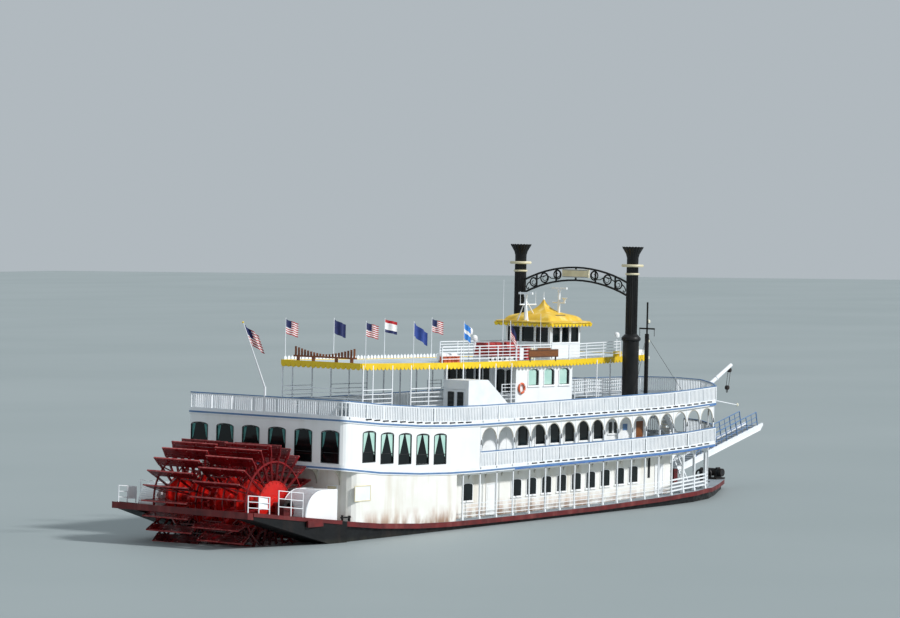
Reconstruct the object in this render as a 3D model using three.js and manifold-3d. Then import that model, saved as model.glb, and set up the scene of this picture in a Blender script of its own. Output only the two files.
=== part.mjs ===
// Stern-wheel paddle steamer, an excursion boat of about 58 m, at half size.
//
// Every size and place below is in metres on the full-size boat. MODEL_SCALE turns one such metre
// into the millimetres of the half-size model when a mesh is made.
// Axes: +X to the bow, +Y to port, +Z up. Before the last shift, x is counted from the stern face
// of the upper house and z from the water; the finished group stands on its flat bottom.

import * as THREE from 'three';
import { mergeVertices } from 'three/addons/utils/BufferGeometryUtils.js';
import Module from 'manifold-3d';

const wasm = await Module();
wasm.setup();

const MODEL_SCALE = 500;
const GAP = 0.0007;

// Driving dimensions.
const HALF_BEAM = 6.1;
const DECK_HALF = HALF_BEAM + 0.06;
const GALLERY_HALF = 4.95;
const LOWER_HALF = 5.1;
const DRAFT = 1.8;
const WALL = 0.12;
const DECK = 0.18;
const GUARD = 0.3;
const BAY = 1.65;
const RAIL_HEIGHT = 1.12;
const STERN_CORNER = 0.45;

// Where the decks and houses begin and end along the boat.
const HULL_AFT = 0.45;
const BEAM_AFT = -7.5;
const BEAM_FORE = -7.0;
const LOWER_HOUSE_AFT = 0.9;
const LOWER_STEP = 11.1;
const LOWER_HOUSE_FORE = 36.0;
const GALLERY_AFT = 13.4;
const SALOON_FORE = 33.3;
const DECK_FORE = 39.8;
const STEM = 50.0;

// Sheer: x, and the top of the main deck, of the promenade deck and of the hurricane deck there.
const SHEER = [
  [-8.0, 2.22, 4.5, 7.34],
  [-3.6, 1.73, 4.5, 7.34],
  [0.0, 1.36, 4.5, 7.34],
  [3.5, 1.03, 4.14, 7.04],
  [7.4, 0.82, 3.92, 6.8],
  [10.4, 0.76, 3.84, 6.71],
  [13.4, 0.77, 3.84, 6.7],
  [18.6, 0.82, 3.92, 6.76],
  [26.3, 0.95, 4.04, 6.88],
  [33.1, 1.16, 4.18, 6.99],
  [36.4, 1.3, 4.3, 7.11],
  [39.8, 1.42, 4.52, 7.3],
  [44.4, 1.42, 4.76, 7.55],
  [51.0, 1.34, 4.76, 7.55],
];
const [MAIN, PROMENADE, HURRICANE] = [1, 2, 3];

// Plan of the main deck's edge towards the bow: x, half-beam.
const BOW_PLAN = [
  [34.85, DECK_HALF],
  [38.0, 5.95],
  [41.0, 5.2],
  [44.0, 3.75],
  [47.0, 2.1],
  [49.1, 0.95],
  [STEM, 0.35],
];

// Plan of the upper decks' front: x, half-beam.
const UPPER_FRONT = [
  [DECK_FORE, DECK_HALF],
  [41.7, 4.62],
  [43.6, 2.45],
  [44.2, 0.9],
];

const COLORS = {
  white: ['#eeeeea', 0.55, 0],
  black: ['#16181b', 0.6, 0],
  guard: ['#7c2f2b', 0.6, 0],
  crimson: ['#8f1717', 0.5, 0],
  deckGrey: ['#8d959b', 0.8, 0],
  yellow: ['#e3c244', 0.6, 0],
  brown: ['#7a4a22', 0.6, 0],
  steel: ['#5d6063', 0.5, 0.6],
  grey: ['#a3a7ab', 0.6, 0],
};

const boat = new THREE.Group();

// Solids.

function toSolid(geometry) {
  const bare = geometry.index ? geometry.toNonIndexed() : geometry;
  bare.deleteAttribute('normal');
  bare.deleteAttribute('uv');
  const merged = mergeVertices(bare, 1e-5);
  return new wasm.Manifold(new wasm.Mesh({
    numProp: 3,
    vertProperties: Float32Array.from(merged.attributes.position.array),
    triVerts: Uint32Array.from(merged.index.array),
  }));
}

function toGeometry(solid) {
  const mesh = solid.getMesh();
  const geometry = new THREE.BufferGeometry();
  geometry.setAttribute('position', new THREE.BufferAttribute(Float32Array.from(mesh.vertProperties), 3));
  geometry.setIndex(Array.from(mesh.triVerts));
  geometry.scale(MODEL_SCALE, MODEL_SCALE, MODEL_SCALE);
  geometry.computeVertexNormals();
  return geometry;
}

function add(name, color, solid, parent = boat) {
  const [hex, roughness, metalness] = COLORS[color];
  const material = new THREE.MeshStandardMaterial({ color: hex, roughness, metalness });
  const mesh = new THREE.Mesh(toGeometry(solid), material);
  mesh.name = name;
  parent.add(mesh);
  return mesh;
}

const join = (parts) => parts.reduce((whole, part) => whole.add(part));
const cut = (whole, tools) => tools.reduce((rest, tool) => rest.subtract(tool), whole);

// An outline's plane: 'x' takes points as (y, z), 'y' as (x, z) and 'z' as (x, y). The prism runs
// along that axis from low to high.
const BASES = {
  x: [[0, 1, 0], [0, 0, 1], [1, 0, 0]],
  y: [[1, 0, 0], [0, 0, 1], [0, -1, 0]],
  z: [[1, 0, 0], [0, 1, 0], [0, 0, 1]],
};

const polygon = (points) => new THREE.Shape(points.map(([u, v]) => new THREE.Vector2(u, v)));

function prism(axis, outline, low, high, segments = 6) {
  const shape = Array.isArray(outline) ? polygon(outline) : outline;
  const geometry = new THREE.ExtrudeGeometry(shape, {
    depth: high - low,
    bevelEnabled: false,
    curveSegments: segments,
  });
  const basis = new THREE.Matrix4().makeBasis(...BASES[axis].map((v) => new THREE.Vector3(...v)));
  geometry.applyMatrix4(basis);
  const start = axis === 'y' ? high : low;
  geometry.translate(axis === 'x' ? start : 0, axis === 'y' ? start : 0, axis === 'z' ? start : 0);
  return toSolid(geometry);
}

function box(x, y, z) {
  const geometry = new THREE.BoxGeometry(x[1] - x[0], y[1] - y[0], z[1] - z[0]);
  geometry.translate((x[0] + x[1]) / 2, (y[0] + y[1]) / 2, (z[0] + z[1]) / 2);
  return toSolid(geometry);
}

// A round bar between two points.
function bar(from, to, radius, sides = 8, tipRadius = radius) {
  const start = new THREE.Vector3(...from);
  const run = new THREE.Vector3(...to).sub(start);
  const geometry = new THREE.CylinderGeometry(tipRadius, radius, run.length(), sides);
  geometry.translate(0, run.length() / 2, 0);
  const up = new THREE.Vector3(0, 1, 0);
  const turn = new THREE.Quaternion().setFromUnitVectors(up, run.clone().normalize());
  geometry.applyQuaternion(turn);
  geometry.translate(start.x, start.y, start.z);
  return toSolid(geometry);
}

// A turned body: profile rows are radius, height; it starts and ends on the axis.
function turned(profile, x, y, z, sides = 20) {
  const points = profile.map(([radius, height]) => new THREE.Vector2(radius, height));
  const geometry = new THREE.LatheGeometry(points, sides);
  geometry.rotateX(Math.PI / 2);
  geometry.translate(x, y, z);
  return toSolid(geometry);
}

// A pin turns in a bore whose flats lie just outside the pin's corners.
const PIN_SIDES = 32;
const PIN_CLEARANCE = 0.0008;
const BORE_FLAT = Math.cos(Math.PI / PIN_SIDES);

const pinBore = (from, to, radius) => bar(from, to, (radius + PIN_CLEARANCE) / BORE_FLAT, PIN_SIDES);

// A door leaf's knuckles stand on its hinge line and reach the jamb; the leaf itself clears it.
const JAMB_CLEARANCE = 0.012;
const KNUCKLE_HEIGHTS = [0.25, 1.6];

function knuckles(x, y, floor) {
  const knuckle = (z) => bar([x, y, z], [x, y, z + 0.1], JAMB_CLEARANCE - GAP, 12);
  return join(KNUCKLE_HEIGHTS.map((height) => knuckle(floor + height)));
}

const mirrored = (solid) => solid.mirror([0, 1, 0]);

// Adds a piece for each side of the boat from one made for the port side.
function addPair(name, color, portSolid) {
  add(`${name}_starboard`, color, mirrored(portSolid));
  add(`${name}_port`, color, portSolid);
}

// Sheer.

function sheer(level, x) {
  const after = Math.max(1, SHEER.findIndex((row) => row[0] >= x));
  const [a, b] = [SHEER[after - 1], SHEER[after]];
  return a[level] + ((b[level] - a[level]) * (x - a[0])) / (b[0] - a[0]);
}

// The line of a deck between two x, lifted by rise: points (x, z) at both ends and every knot.
function sheerLine(level, from, to, rise = 0) {
  const knots = SHEER.map((row) => row[0]).filter((x) => x > from && x < to);
  return [from, ...knots, to].map((x) => [x, sheer(level, x) + rise]);
}

// What lies between two heights above decks, right across the boat.
function layer(level, rise, upperLevel, upperRise, from = -7.9, to = 50.9) {
  const floor = sheerLine(level, from, to, rise);
  const ceiling = sheerLine(upperLevel, from, to, upperRise).reverse();
  return prism('y', [...floor, ...ceiling], -8, 8);
}

const DECK_ABOVE_MAIN = layer(MAIN, GAP, PROMENADE, -DECK - GAP);
const DECK_ABOVE_PROMENADE = layer(PROMENADE, GAP, HURRICANE, -DECK - GAP);

// Plans.

// Both sides of an outline given on the port side from stern to bow.
function bothSides(portSide) {
  const starboard = portSide.map(([x, y]) => [x, -y]).reverse();
  return [...portSide, ...starboard];
}

// Stern corner of a plan, rounded: its arc on the port side.
function sternCorner(x, half, radius, steps = 3) {
  const points = [];
  for (let step = 0; step <= steps; step += 1) {
    const angle = (Math.PI / 2) * (step / steps);
    points.push([x + radius * (1 - Math.cos(angle)), half - radius * (1 - Math.sin(angle))]);
  }
  return points;
}

const upperPlan = bothSides([...sternCorner(-0.06, DECK_HALF, STERN_CORNER), ...UPPER_FRONT]);
const mainPlan = bothSides([[HULL_AFT, DECK_HALF], ...BOW_PLAN]);

// Openings in a wall.

// A window with a low arched head, as a tool that cuts along an axis.
function windowTool(axis, centre, sill, width, height, rise, low, high, segments = 2) {
  const half = width / 2;
  const spring = sill + height - rise;
  const shape = new THREE.Shape();
  shape.moveTo(centre - half, sill);
  shape.lineTo(centre + half, sill);
  shape.lineTo(centre + half, spring);
  shape.absellipse(centre, spring, half, rise, 0, Math.PI, false, 0);
  shape.closePath();
  return prism(axis, shape, low, high, segments);
}

// Hull and main deck.

const RUDDER_X = 1.9;
const RUDDER_Y = 2.4;
const RAKE_FOOT = 6.0;
const RAKE_HEAD = 0.2;
const RUDDER_HEAD = -0.62;

function hull() {
  const plan = bothSides([[HULL_AFT, 5.96], ...BOW_PLAN.map(([x, half]) => [x - 0.12, half - 0.2])]);
  const profile = [
    [HULL_AFT, RAKE_HEAD],
    [RAKE_FOOT, -DRAFT],
    [42.0, -DRAFT],
    [46.5, -1.1],
    [49.2, 0.2],
    ...sheerLine(MAIN, HULL_AFT, 50.3, -GUARD - GAP).reverse(),
  ];
  const section = [
    [-6.2, 3], [-6.2, -1.1], [-5.6, -DRAFT], [5.6, -DRAFT], [6.2, -1.1], [6.2, 3],
  ];
  const body = prism('z', plan, -DRAFT, 3).intersect(prism('y', profile, -7, 7));
  const trunk = bar([RUDDER_X, RUDDER_Y, 0.3], [RUDDER_X, RUDDER_Y, RUDDER_HEAD], 0.22, 12);
  return join([body.intersect(prism('x', section, 0, 52)), trunk, mirrored(trunk)]);
}

const STAGE_PIN = [42.9, 2.15];
const PIN_RADIUS = 0.08;

// Two cheeks that hold a cross pin, standing on the deck.
function cheeks(x, z, foot, inner, thick, reach, radius) {
  const plate = (low) => box([x - reach, x + reach], [low, low + thick], [foot, z + reach]);
  return join([plate(inner), plate(-inner - thick)]).subtract(pinBore([x, -3, z], [x, 3, z], radius));
}

function mainDeck() {
  const plate = prism('z', mainPlan, 0, 3).intersect(layer(MAIN, -GUARD, MAIN, 0));
  const step = cheeks(STAGE_PIN[0], STAGE_PIN[1], 1.3, 0.84, 0.12, 0.22, PIN_RADIUS);
  return plate.add(step);
}

const GIRDER_INNER = 3.8;
const GIRDER_END_HALF = 5.25;

function sternGirder() {
  const plan = [
    [BEAM_FORE + GAP, GIRDER_INNER],
    [HULL_AFT - GAP, GIRDER_INNER],
    [HULL_AFT - GAP, DECK_HALF],
    [BEAM_FORE + GAP, GIRDER_END_HALF],
  ];
  const profile = [
    [BEAM_FORE, 1.72],
    [-0.2, -0.15],
    [HULL_AFT, -0.15],
    ...sheerLine(MAIN, BEAM_FORE, HULL_AFT, 0).reverse(),
  ];
  return prism('z', plan, -1, 3).intersect(prism('y', profile, -7, 7));
}

function aftCrossBeam() {
  const upper = sheerLine(MAIN, BEAM_AFT, BEAM_FORE).reverse();
  const profile = [[BEAM_AFT, 1.78], [BEAM_FORE, 1.72], ...upper];
  return prism('y', profile, -GIRDER_END_HALF, GIRDER_END_HALF);
}

// Paddle wheel: two halves with their buckets half a space apart.

const WHEEL_X = -3.2;
const WHEEL_Z = 2.29;
const WHEEL_RADIUS = 3.52;
const WHEEL_HALF = 3.66;
const BUCKETS = 24;
const BUCKET_INNER = 2.86;
const HUB_RADIUS = 1.42;
const ARM_END = 3.3;
const ARM_HALF = 0.06;
const FLANGES = [0.25, 1.82, WHEEL_HALF - 0.12];
const FLANGE_HALF = 0.05;
const SHAFT_RADIUS = 0.2;
const BEARING_END = 4.75;

// One flange: a hub disc that carries an arm for each bucket, as one outline.
function wheelFlange(y, phase) {
  const step = (2 * Math.PI) / BUCKETS;
  const arm = [
    [HUB_RADIUS, -ARM_HALF], [ARM_END, -ARM_HALF], [ARM_END, ARM_HALF], [HUB_RADIUS, ARM_HALF],
  ];
  const outline = [];
  for (let index = 0; index < BUCKETS; index += 1) {
    const angle = (index + phase) * step;
    for (const [along, aside] of arm) {
      outline.push([
        along * Math.cos(angle) - aside * Math.sin(angle),
        along * Math.sin(angle) + aside * Math.cos(angle),
      ]);
    }
  }
  return prism('y', outline, y - FLANGE_HALF, y + FLANGE_HALF);
}

function wheelHalf(phase) {
  const parts = FLANGES.map((y) => wheelFlange(y, phase));
  for (let index = 0; index < BUCKETS; index += 1) {
    const bucket = box([BUCKET_INNER, WHEEL_RADIUS], [0.1, WHEEL_HALF], [-0.035, 0.035]);
    parts.push(bucket.rotate([0, (-(index + phase) * 360) / BUCKETS, 0]));
  }
  const bore = bar([0, -1, 0], [0, 5, 0], SHAFT_RADIUS + GAP, PIN_SIDES);
  return join(parts).subtract(bore).translate([WHEEL_X, 0, WHEEL_Z]);
}

// White casing over the drive on each stern girder, with the shaft's bearing.

const CASING_INNER = 3.8;
const CASING_OUTER = 5.7;
const CASING_AFT = -2.8;
const CASING_FORE = 0.05;
const CASING_TOP = 3.18;

function driveCasing() {
  const round = 1.5;
  const shape = new THREE.Shape();
  shape.moveTo(CASING_AFT, 0.5);
  shape.lineTo(CASING_FORE, 0.5);
  shape.lineTo(CASING_FORE, CASING_TOP);
  shape.lineTo(CASING_AFT + round, CASING_TOP);
  shape.absarc(CASING_AFT + round, CASING_TOP - round, round, Math.PI / 2, Math.PI, false);
  shape.closePath();
  const casing = prism('y', shape, CASING_INNER, CASING_OUTER, 5);
  const bearing = box([WHEEL_X - 0.5, CASING_AFT + 0.1], [4.1, BEARING_END], [0.5, WHEEL_Z + 0.45]);
  const bore = pinBore([WHEEL_X, 3, WHEEL_Z], [WHEEL_X, 6, WHEEL_Z], SHAFT_RADIUS);
  const above = prism('y', [...sheerLine(MAIN, -7, 0.4, GAP), [0.4, 5], [-7, 5]], 3, 7);
  return casing.add(bearing).intersect(above).subtract(bore);
}

function rudder() {
  const outline = [
    [RUDDER_X - 1.15, -1.7], [RUDDER_X + 0.45, -1.7], [RUDDER_X + 0.45, -0.85],
    [RUDDER_X + 0.1, -0.75], [RUDDER_X - 1.15, -0.75],
  ];
  const blade = prism('y', outline, RUDDER_Y - 0.06, RUDDER_Y + 0.06);
  return blade.add(bar([RUDDER_X, RUDDER_Y, -1.7], [RUDDER_X, RUDDER_Y, RUDDER_HEAD - GAP], 0.11, 12));
}

add('hull', 'black', hull());
add('main_deck', 'guard', mainDeck());
addPair('stern_girder', 'black', sternGirder());
add('aft_cross_beam', 'guard', aftCrossBeam());
add('paddle_wheel_port', 'crimson', wheelHalf(0));
add('paddle_wheel_starboard', 'crimson', mirrored(wheelHalf(0.5)));
const SHAFT_END = BEARING_END - 0.05;
const shaft = bar([WHEEL_X, -SHAFT_END, WHEEL_Z], [WHEEL_X, SHAFT_END, WHEEL_Z], SHAFT_RADIUS, PIN_SIDES);
add('paddle_wheel_shaft', 'crimson', shaft);
addPair('drive_casing', 'white', driveCasing());
addPair('rudder', 'black', rudder());
add('generator_block', 'steel', box([20, 25], [-1.2, 1.2], [sheer(MAIN, 25) + GAP, 2.7]));

// Houses. A wall is a strip of plan stood up between two decks.

const LOWER_CORNER = 0.8;

function lowerSideWall() {
  const start = LOWER_HOUSE_AFT + LOWER_CORNER + GAP;
  const plan = [
    [start, HALF_BEAM], [LOWER_STEP, HALF_BEAM], [LOWER_STEP, LOWER_HALF],
    [LOWER_HOUSE_FORE, LOWER_HALF], [LOWER_HOUSE_FORE, LOWER_HALF - WALL],
    [LOWER_STEP - WALL, LOWER_HALF - WALL], [LOWER_STEP - WALL, HALF_BEAM - WALL],
    [start, HALF_BEAM - WALL],
  ];
  return prism('z', plan, 0, 6).intersect(DECK_ABOVE_MAIN);
}

function sternWall(x, corner, space) {
  const inner = HALF_BEAM - WALL;
  const whole = bothSides(sternCorner(x, HALF_BEAM, corner, 4));
  const hollow = bothSides([...sternCorner(x + WALL, inner, corner - WALL, 4), [x + 20, inner]]);
  return prism('z', whole, 0, 9).subtract(prism('z', hollow, -1, 10)).intersect(space);
}

const ENTRY = { width: 1.1, height: 2.0 };

function lowerForeWall() {
  const x = LOWER_HOUSE_FORE;
  const inner = LOWER_HALF - WALL - GAP;
  const half = ENTRY.width / 2;
  const wall = box([x - WALL, x], [-inner, inner], [0, 6]);
  const entry = box([x - 1, x + 1], [-half, half], [0, sheer(MAIN, x) + ENTRY.height]);
  return wall.intersect(DECK_ABOVE_MAIN).subtract(entry);
}

addPair('main_house_wall', 'white', lowerSideWall());
add('main_house_wall_aft', 'white', sternWall(LOWER_HOUSE_AFT, LOWER_CORNER, DECK_ABOVE_MAIN));
add('main_house_wall_fore', 'white', lowerForeWall());

const BOOM_PIN = [43.2, 5.54];
const BOOM_PIN_RADIUS = 0.06;

function promenadeDeck() {
  const plate = prism('z', upperPlan, 2, 6).intersect(layer(PROMENADE, -DECK, PROMENADE, 0));
  const [x, z] = BOOM_PIN;
  const post = box([x - 0.25, x + 0.25], [-0.35, 0.35], [4.6, 5.15]);
  return join([plate, post, cheeks(x, z, 5.1, 0.2, 0.1, 0.18, BOOM_PIN_RADIUS)]);
}

add('promenade_deck', 'deckGrey', promenadeDeck());

// Saloon on the promenade deck: flush windows aft, gallery windows forward.
const STERN_WINDOWS = { count: 6, spacing: 2.04, width: 1.25, height: 1.85, rise: 0.12, sill: 4.74 };
// Side windows: middle of the first, count, spacing, then the size and the sill above the deck.
const FLUSH_WINDOWS = {
  first: 2.43, count: 5, spacing: 1.73, width: 1.14, height: 1.78, rise: 0.12, above: 0.5,
};
const LONE_WINDOW = {
  first: 19.4, count: 1, spacing: 0, width: 1.1, height: 1.35, rise: 0.2, above: 1.1,
};
const GALLERY_WINDOWS = {
  first: 21.3, count: 5, spacing: 1.6, width: 1.1, height: 1.35, rise: 0.2, above: 1.1,
};

function saloonSideWall() {
  const start = STERN_CORNER + GAP;
  const plan = [
    [start, HALF_BEAM], [GALLERY_AFT, HALF_BEAM], [GALLERY_AFT, GALLERY_HALF],
    [SALOON_FORE, GALLERY_HALF], [SALOON_FORE, GALLERY_HALF - WALL],
    [GALLERY_AFT - WALL, GALLERY_HALF - WALL], [GALLERY_AFT - WALL, HALF_BEAM - WALL],
    [start, HALF_BEAM - WALL],
  ];
  const tools = [];
  for (const row of [FLUSH_WINDOWS, LONE_WINDOW, GALLERY_WINDOWS]) {
    for (let index = 0; index < row.count; index += 1) {
      const x = row.first + index * row.spacing;
      const sill = sheer(PROMENADE, x) + row.above;
      tools.push(windowTool('y', x, sill, row.width, row.height, row.rise, 4, 7));
    }
  }
  return cut(prism('z', plan, 2, 9).intersect(DECK_ABOVE_PROMENADE), tools);
}

function saloonAftWall() {
  const row = STERN_WINDOWS;
  const tools = [];
  for (let index = 0; index < row.count; index += 1) {
    const y = (index - (row.count - 1) / 2) * row.spacing;
    tools.push(windowTool('x', y, row.sill, row.width, row.height, row.rise, -1, 0.3));
  }
  return cut(sternWall(0, STERN_CORNER, DECK_ABOVE_PROMENADE), tools);
}

// The door's foot clears the deck, which rises ahead of it.
const SALOON_DOOR = { width: 0.9, height: 1.95, thick: 0.06, foot: 0.07 };

function saloonForeWall() {
  const inner = GALLERY_HALF - WALL - GAP;
  const wall = box([SALOON_FORE - WALL, SALOON_FORE], [-inner, inner], [2, 9]);
  const floor = sheer(PROMENADE, SALOON_FORE);
  const half = SALOON_DOOR.width / 2 + JAMB_CLEARANCE;
  const lintel = floor + SALOON_DOOR.foot + SALOON_DOOR.height + 0.015;
  const entry = box([SALOON_FORE - 1, SALOON_FORE + 1], [-half, half], [2, lintel]);
  return wall.intersect(DECK_ABOVE_PROMENADE).subtract(entry);
}

function saloonDoor() {
  const floor = sheer(PROMENADE, SALOON_FORE) + SALOON_DOOR.foot;
  const half = SALOON_DOOR.width / 2;
  const span = [SALOON_FORE - SALOON_DOOR.thick, SALOON_FORE];
  const leaf = box(span, [-half, half], [floor, floor + SALOON_DOOR.height]);
  const pane = windowTool('x', 0, floor + 1.0, 0.5, 0.8, 0.1, 30, 40);
  return leaf.subtract(pane).add(knuckles(SALOON_FORE, half, floor));
}

addPair('saloon_wall', 'white', saloonSideWall());
add('saloon_wall_aft', 'white', saloonAftWall());
add('saloon_wall_fore', 'white', saloonForeWall());
add('saloon_door', 'white', saloonDoor());

// Steep stair on the starboard side from the promenade deck up through a hatch in the one above.
const FORE_STAIR = { foot: 39.0, head: 36.5, inner: 3.1, outer: 3.9, treads: 10, string: 0.06 };
const HATCH = { aft: 35.6, fore: 38.4, margin: 0.1 };

function hurricaneDeck() {
  const hatch = box(
    [HATCH.aft, HATCH.fore],
    [-FORE_STAIR.outer - HATCH.margin, -FORE_STAIR.inner + HATCH.margin],
    [6, 8],
  );
  return prism('z', upperPlan, 5, 9).intersect(layer(HURRICANE, -DECK, HURRICANE, 0)).subtract(hatch);
}

function foreStair() {
  const { foot, head, inner, outer, treads, string } = FORE_STAIR;
  const low = sheer(PROMENADE, foot) + GAP;
  const high = sheer(HURRICANE, head);
  const side = (y) => prism('y', [
    [foot, low], [foot, low + 0.3], [head, high], [head - 0.25, high],
    [head - 0.25, high - 0.2], [foot - 0.3, low],
  ], y, y + string);
  const parts = [side(-outer), side(-inner - string)];
  for (let index = 1; index <= treads; index += 1) {
    const part = index / (treads + 1);
    const x = foot - 0.1 + (head - foot) * part;
    const z = low + (high - low) * part;
    parts.push(box([x - 0.14, x + 0.1], [-outer + 0.03, -inner - 0.03], [z, z + 0.04]));
  }
  const landing = box([HATCH.aft + GAP, head], [-outer, -inner], [high - 0.06, high]);
  return join([...parts, landing]).intersect(layer(PROMENADE, GAP, HURRICANE, 0));
}

add('hurricane_deck', 'deckGrey', hurricaneDeck());
add('fore_stair', 'white', foreStair());

// Colonnades: a band under the deck above, with a post on each bay and arches between.

// One straight run of bays from point a to point b on the port side. The arches have the given
// rise; bars is the list of rail heights above the deck below.
function arcadeRun(a, b, bays, thick, post, rise, level, bars) {
  const length = Math.hypot(b[0] - a[0], b[1] - a[1]);
  const angle = (Math.atan2(b[1] - a[1], b[0] - a[0]) * 180) / Math.PI;
  const pitch = length / bays;
  const width = pitch - post;
  const upper = level + 1;
  const tools = [];
  for (let bay = 0; bay < bays; bay += 1) {
    const centre = (bay + 0.5) * pitch;
    const x = a[0] + ((b[0] - a[0]) * centre) / length;
    const top = sheer(upper, x) - DECK - 0.16;
    tools.push(windowTool('y', centre, -1, width, top + 1, rise, -1, 1, 2));
  }
  let run = cut(box([-post / 2, length + post / 2], [-thick / 2, thick / 2], [0, 9]), tools);
  const stretch = length / (b[0] - a[0]);
  for (const height of bars) {
    const rail = sheerLine(level, a[0], b[0], height).map(([x, z]) => [(x - a[0]) * stretch, z]);
    const lower = rail.map(([u, z]) => [u, z - 0.07]).reverse();
    run = run.add(prism('y', [...rail, ...lower], -0.04, 0.04));
  }
  return run.rotate([0, 0, angle]).translate([a[0], a[1], 0]);
}

const COLUMN_LINE = 5.98;
const insideRails = box([0, 50], [0, COLUMN_LINE + 0.06], [0, 9]);
// Posts stand 1.73 m apart aft of this place and 1.6 m apart forward of it.
const BAY_CHANGE = 20.5;

addPair('colonnade', 'white', join([
  arcadeRun([11.87, COLUMN_LINE], [BAY_CHANGE, COLUMN_LINE], 5, 0.1, 0.1, 0.02, MAIN, []),
  arcadeRun([BAY_CHANGE, COLUMN_LINE], [34.85, COLUMN_LINE], 9, 0.1, 0.1, 0.02, MAIN, []),
  arcadeRun([34.85, COLUMN_LINE], [39.8, 5.35], 3, 0.12, 0.18, 0.35, MAIN, [1.0, 0.56]),
  arcadeRun([39.8, 5.35], [41.6, 4.35], 1, 0.12, 0.18, 0.35, MAIN, [1.0, 0.56]),
]).intersect(DECK_ABOVE_MAIN).intersect(insideRails));

addPair('arcade', 'white', join([
  arcadeRun([GALLERY_AFT + 0.2, COLUMN_LINE], [BAY_CHANGE, COLUMN_LINE], 4, 0.1, 0.18, 0.72, PROMENADE, []),
  arcadeRun([BAY_CHANGE, COLUMN_LINE], [DECK_FORE - 0.1, COLUMN_LINE], 12, 0.1, 0.18, 0.72, PROMENADE, []),
  arcadeRun([DECK_FORE - 0.1, COLUMN_LINE], [41.4, 4.5], 1, 0.1, 0.18, 0.72, PROMENADE, []),
]).intersect(DECK_ABOVE_PROMENADE).intersect(insideRails));

// Rails: ladders of posts between a cap and a foot rail, following the deck.

function railRun(a, b, level, spacing, height) {
  const length = Math.hypot(b[0] - a[0], b[1] - a[1]);
  const angle = (Math.atan2(b[1] - a[1], b[0] - a[0]) * 180) / Math.PI;
  const bays = Math.max(1, Math.round(length / spacing));
  const at = (u) => sheer(level, a[0] + ((b[0] - a[0]) * u) / length);
  const along = [0, ...SHEER.map(([x]) => ((x - a[0]) * length) / (b[0] - a[0] || 1e-9))
    .filter((u) => u > 0.01 && u < length - 0.01), length].sort((p, q) => p - q);
  const outline = [
    ...along.map((u) => [u, at(u)]),
    ...[...along].reverse().map((u) => [u, at(u) + height]),
  ];
  const pane = (from, to, low, high) => prism('y', [
    [from, at(from) + low], [to, at(to) + low], [to, at(to) + high], [from, at(from) + high],
  ], -1, 1);
  const tools = [];
  for (let bay = 0; bay < bays; bay += 1) {
    const [from, to] = [(bay * length) / bays + 0.045, ((bay + 1) * length) / bays - 0.045];
    tools.push(pane(from, to, 0.2, height - 0.09));
  }
  return cut(prism('y', outline, -0.035, 0.035), tools).rotate([0, 0, angle]).translate([a[0], a[1], 0]);
}

function rail(path, level, space, spacing = 2 * BAY, height = RAIL_HEIGHT) {
  const runs = path.slice(1).map((point, index) => railRun(path[index], point, level, spacing, height));
  return join(runs).intersect(space);
}

const ABOVE_PROMENADE = layer(PROMENADE, GAP, PROMENADE, 3);
const ABOVE_HURRICANE = layer(HURRICANE, GAP, HURRICANE, 3);
const RAIL_LINE = HALF_BEAM;
const RAIL_FRONT = [[DECK_FORE, RAIL_LINE], [41.66, 4.57], [43.54, 2.42]];

addPair('promenade_rail', 'white', rail(
  [[GALLERY_AFT + 0.06, RAIL_LINE], ...RAIL_FRONT, [44.1, 0.75]], PROMENADE, ABOVE_PROMENADE));
addPair('hurricane_rail', 'white', rail(
  [[STERN_CORNER + 0.05, RAIL_LINE], ...RAIL_FRONT, [44.1, 0.05]], HURRICANE, ABOVE_HURRICANE));

const ENSIGN_ROOT = 7.36;

// The stern rail is one run from the port corner round to the starboard one, with the ensign staff.
function sternRail() {
  const corner = sternCorner(0.02, RAIL_LINE, STERN_CORNER).reverse();
  const path = [...corner, ...corner.map(([x, y]) => [x, -y]).reverse()];
  const staff = join([
    bar([0.02, 0, ENSIGN_ROOT], [0.02, 0, 8.95], 0.07, 8),
    bar([0.02, 0, 8.9], [-2.11, 0, 12.85], 0.06, 8, 0.035),
  ]);
  return rail(path, HURRICANE, ABOVE_HURRICANE).add(staff);
}

add('hurricane_rail_stern', 'white', sternRail());

// Stair house on the hurricane deck, with two leaves in its aft face.

const STAIR = { aft: 13.3, flat: 15.3, fore: 18.8, inner: 3.25, outer: 5.2, top: 9.27 };
const LEAF = { width: 0.72, height: 1.95, thick: 0.05, x: 13.3 };
const stairMiddle = (STAIR.inner + STAIR.outer) / 2;
const stairFloor = sheer(HURRICANE, STAIR.aft);

function stairHouse() {
  const outline = (inset) => [
    [STAIR.aft + inset, 6], [STAIR.fore - inset * 1.4, 6], [STAIR.fore - inset * 1.4, 6.77],
    [STAIR.flat - inset * 0.4, STAIR.top - inset], [STAIR.aft + inset, STAIR.top - inset],
  ];
  const shell = prism('y', outline(0), -STAIR.outer, -STAIR.inner);
  const hollow = prism('y', outline(0.08), -STAIR.outer + 0.08, -STAIR.inner - 0.08);
  const half = LEAF.width + JAMB_CLEARANCE;
  const lintel = stairFloor + LEAF.height + 0.04;
  const entry = box([12, 14], [-stairMiddle - half, -stairMiddle + half], [6, lintel]);
  return cut(shell, [hollow, entry]).intersect(ABOVE_HURRICANE);
}

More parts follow.
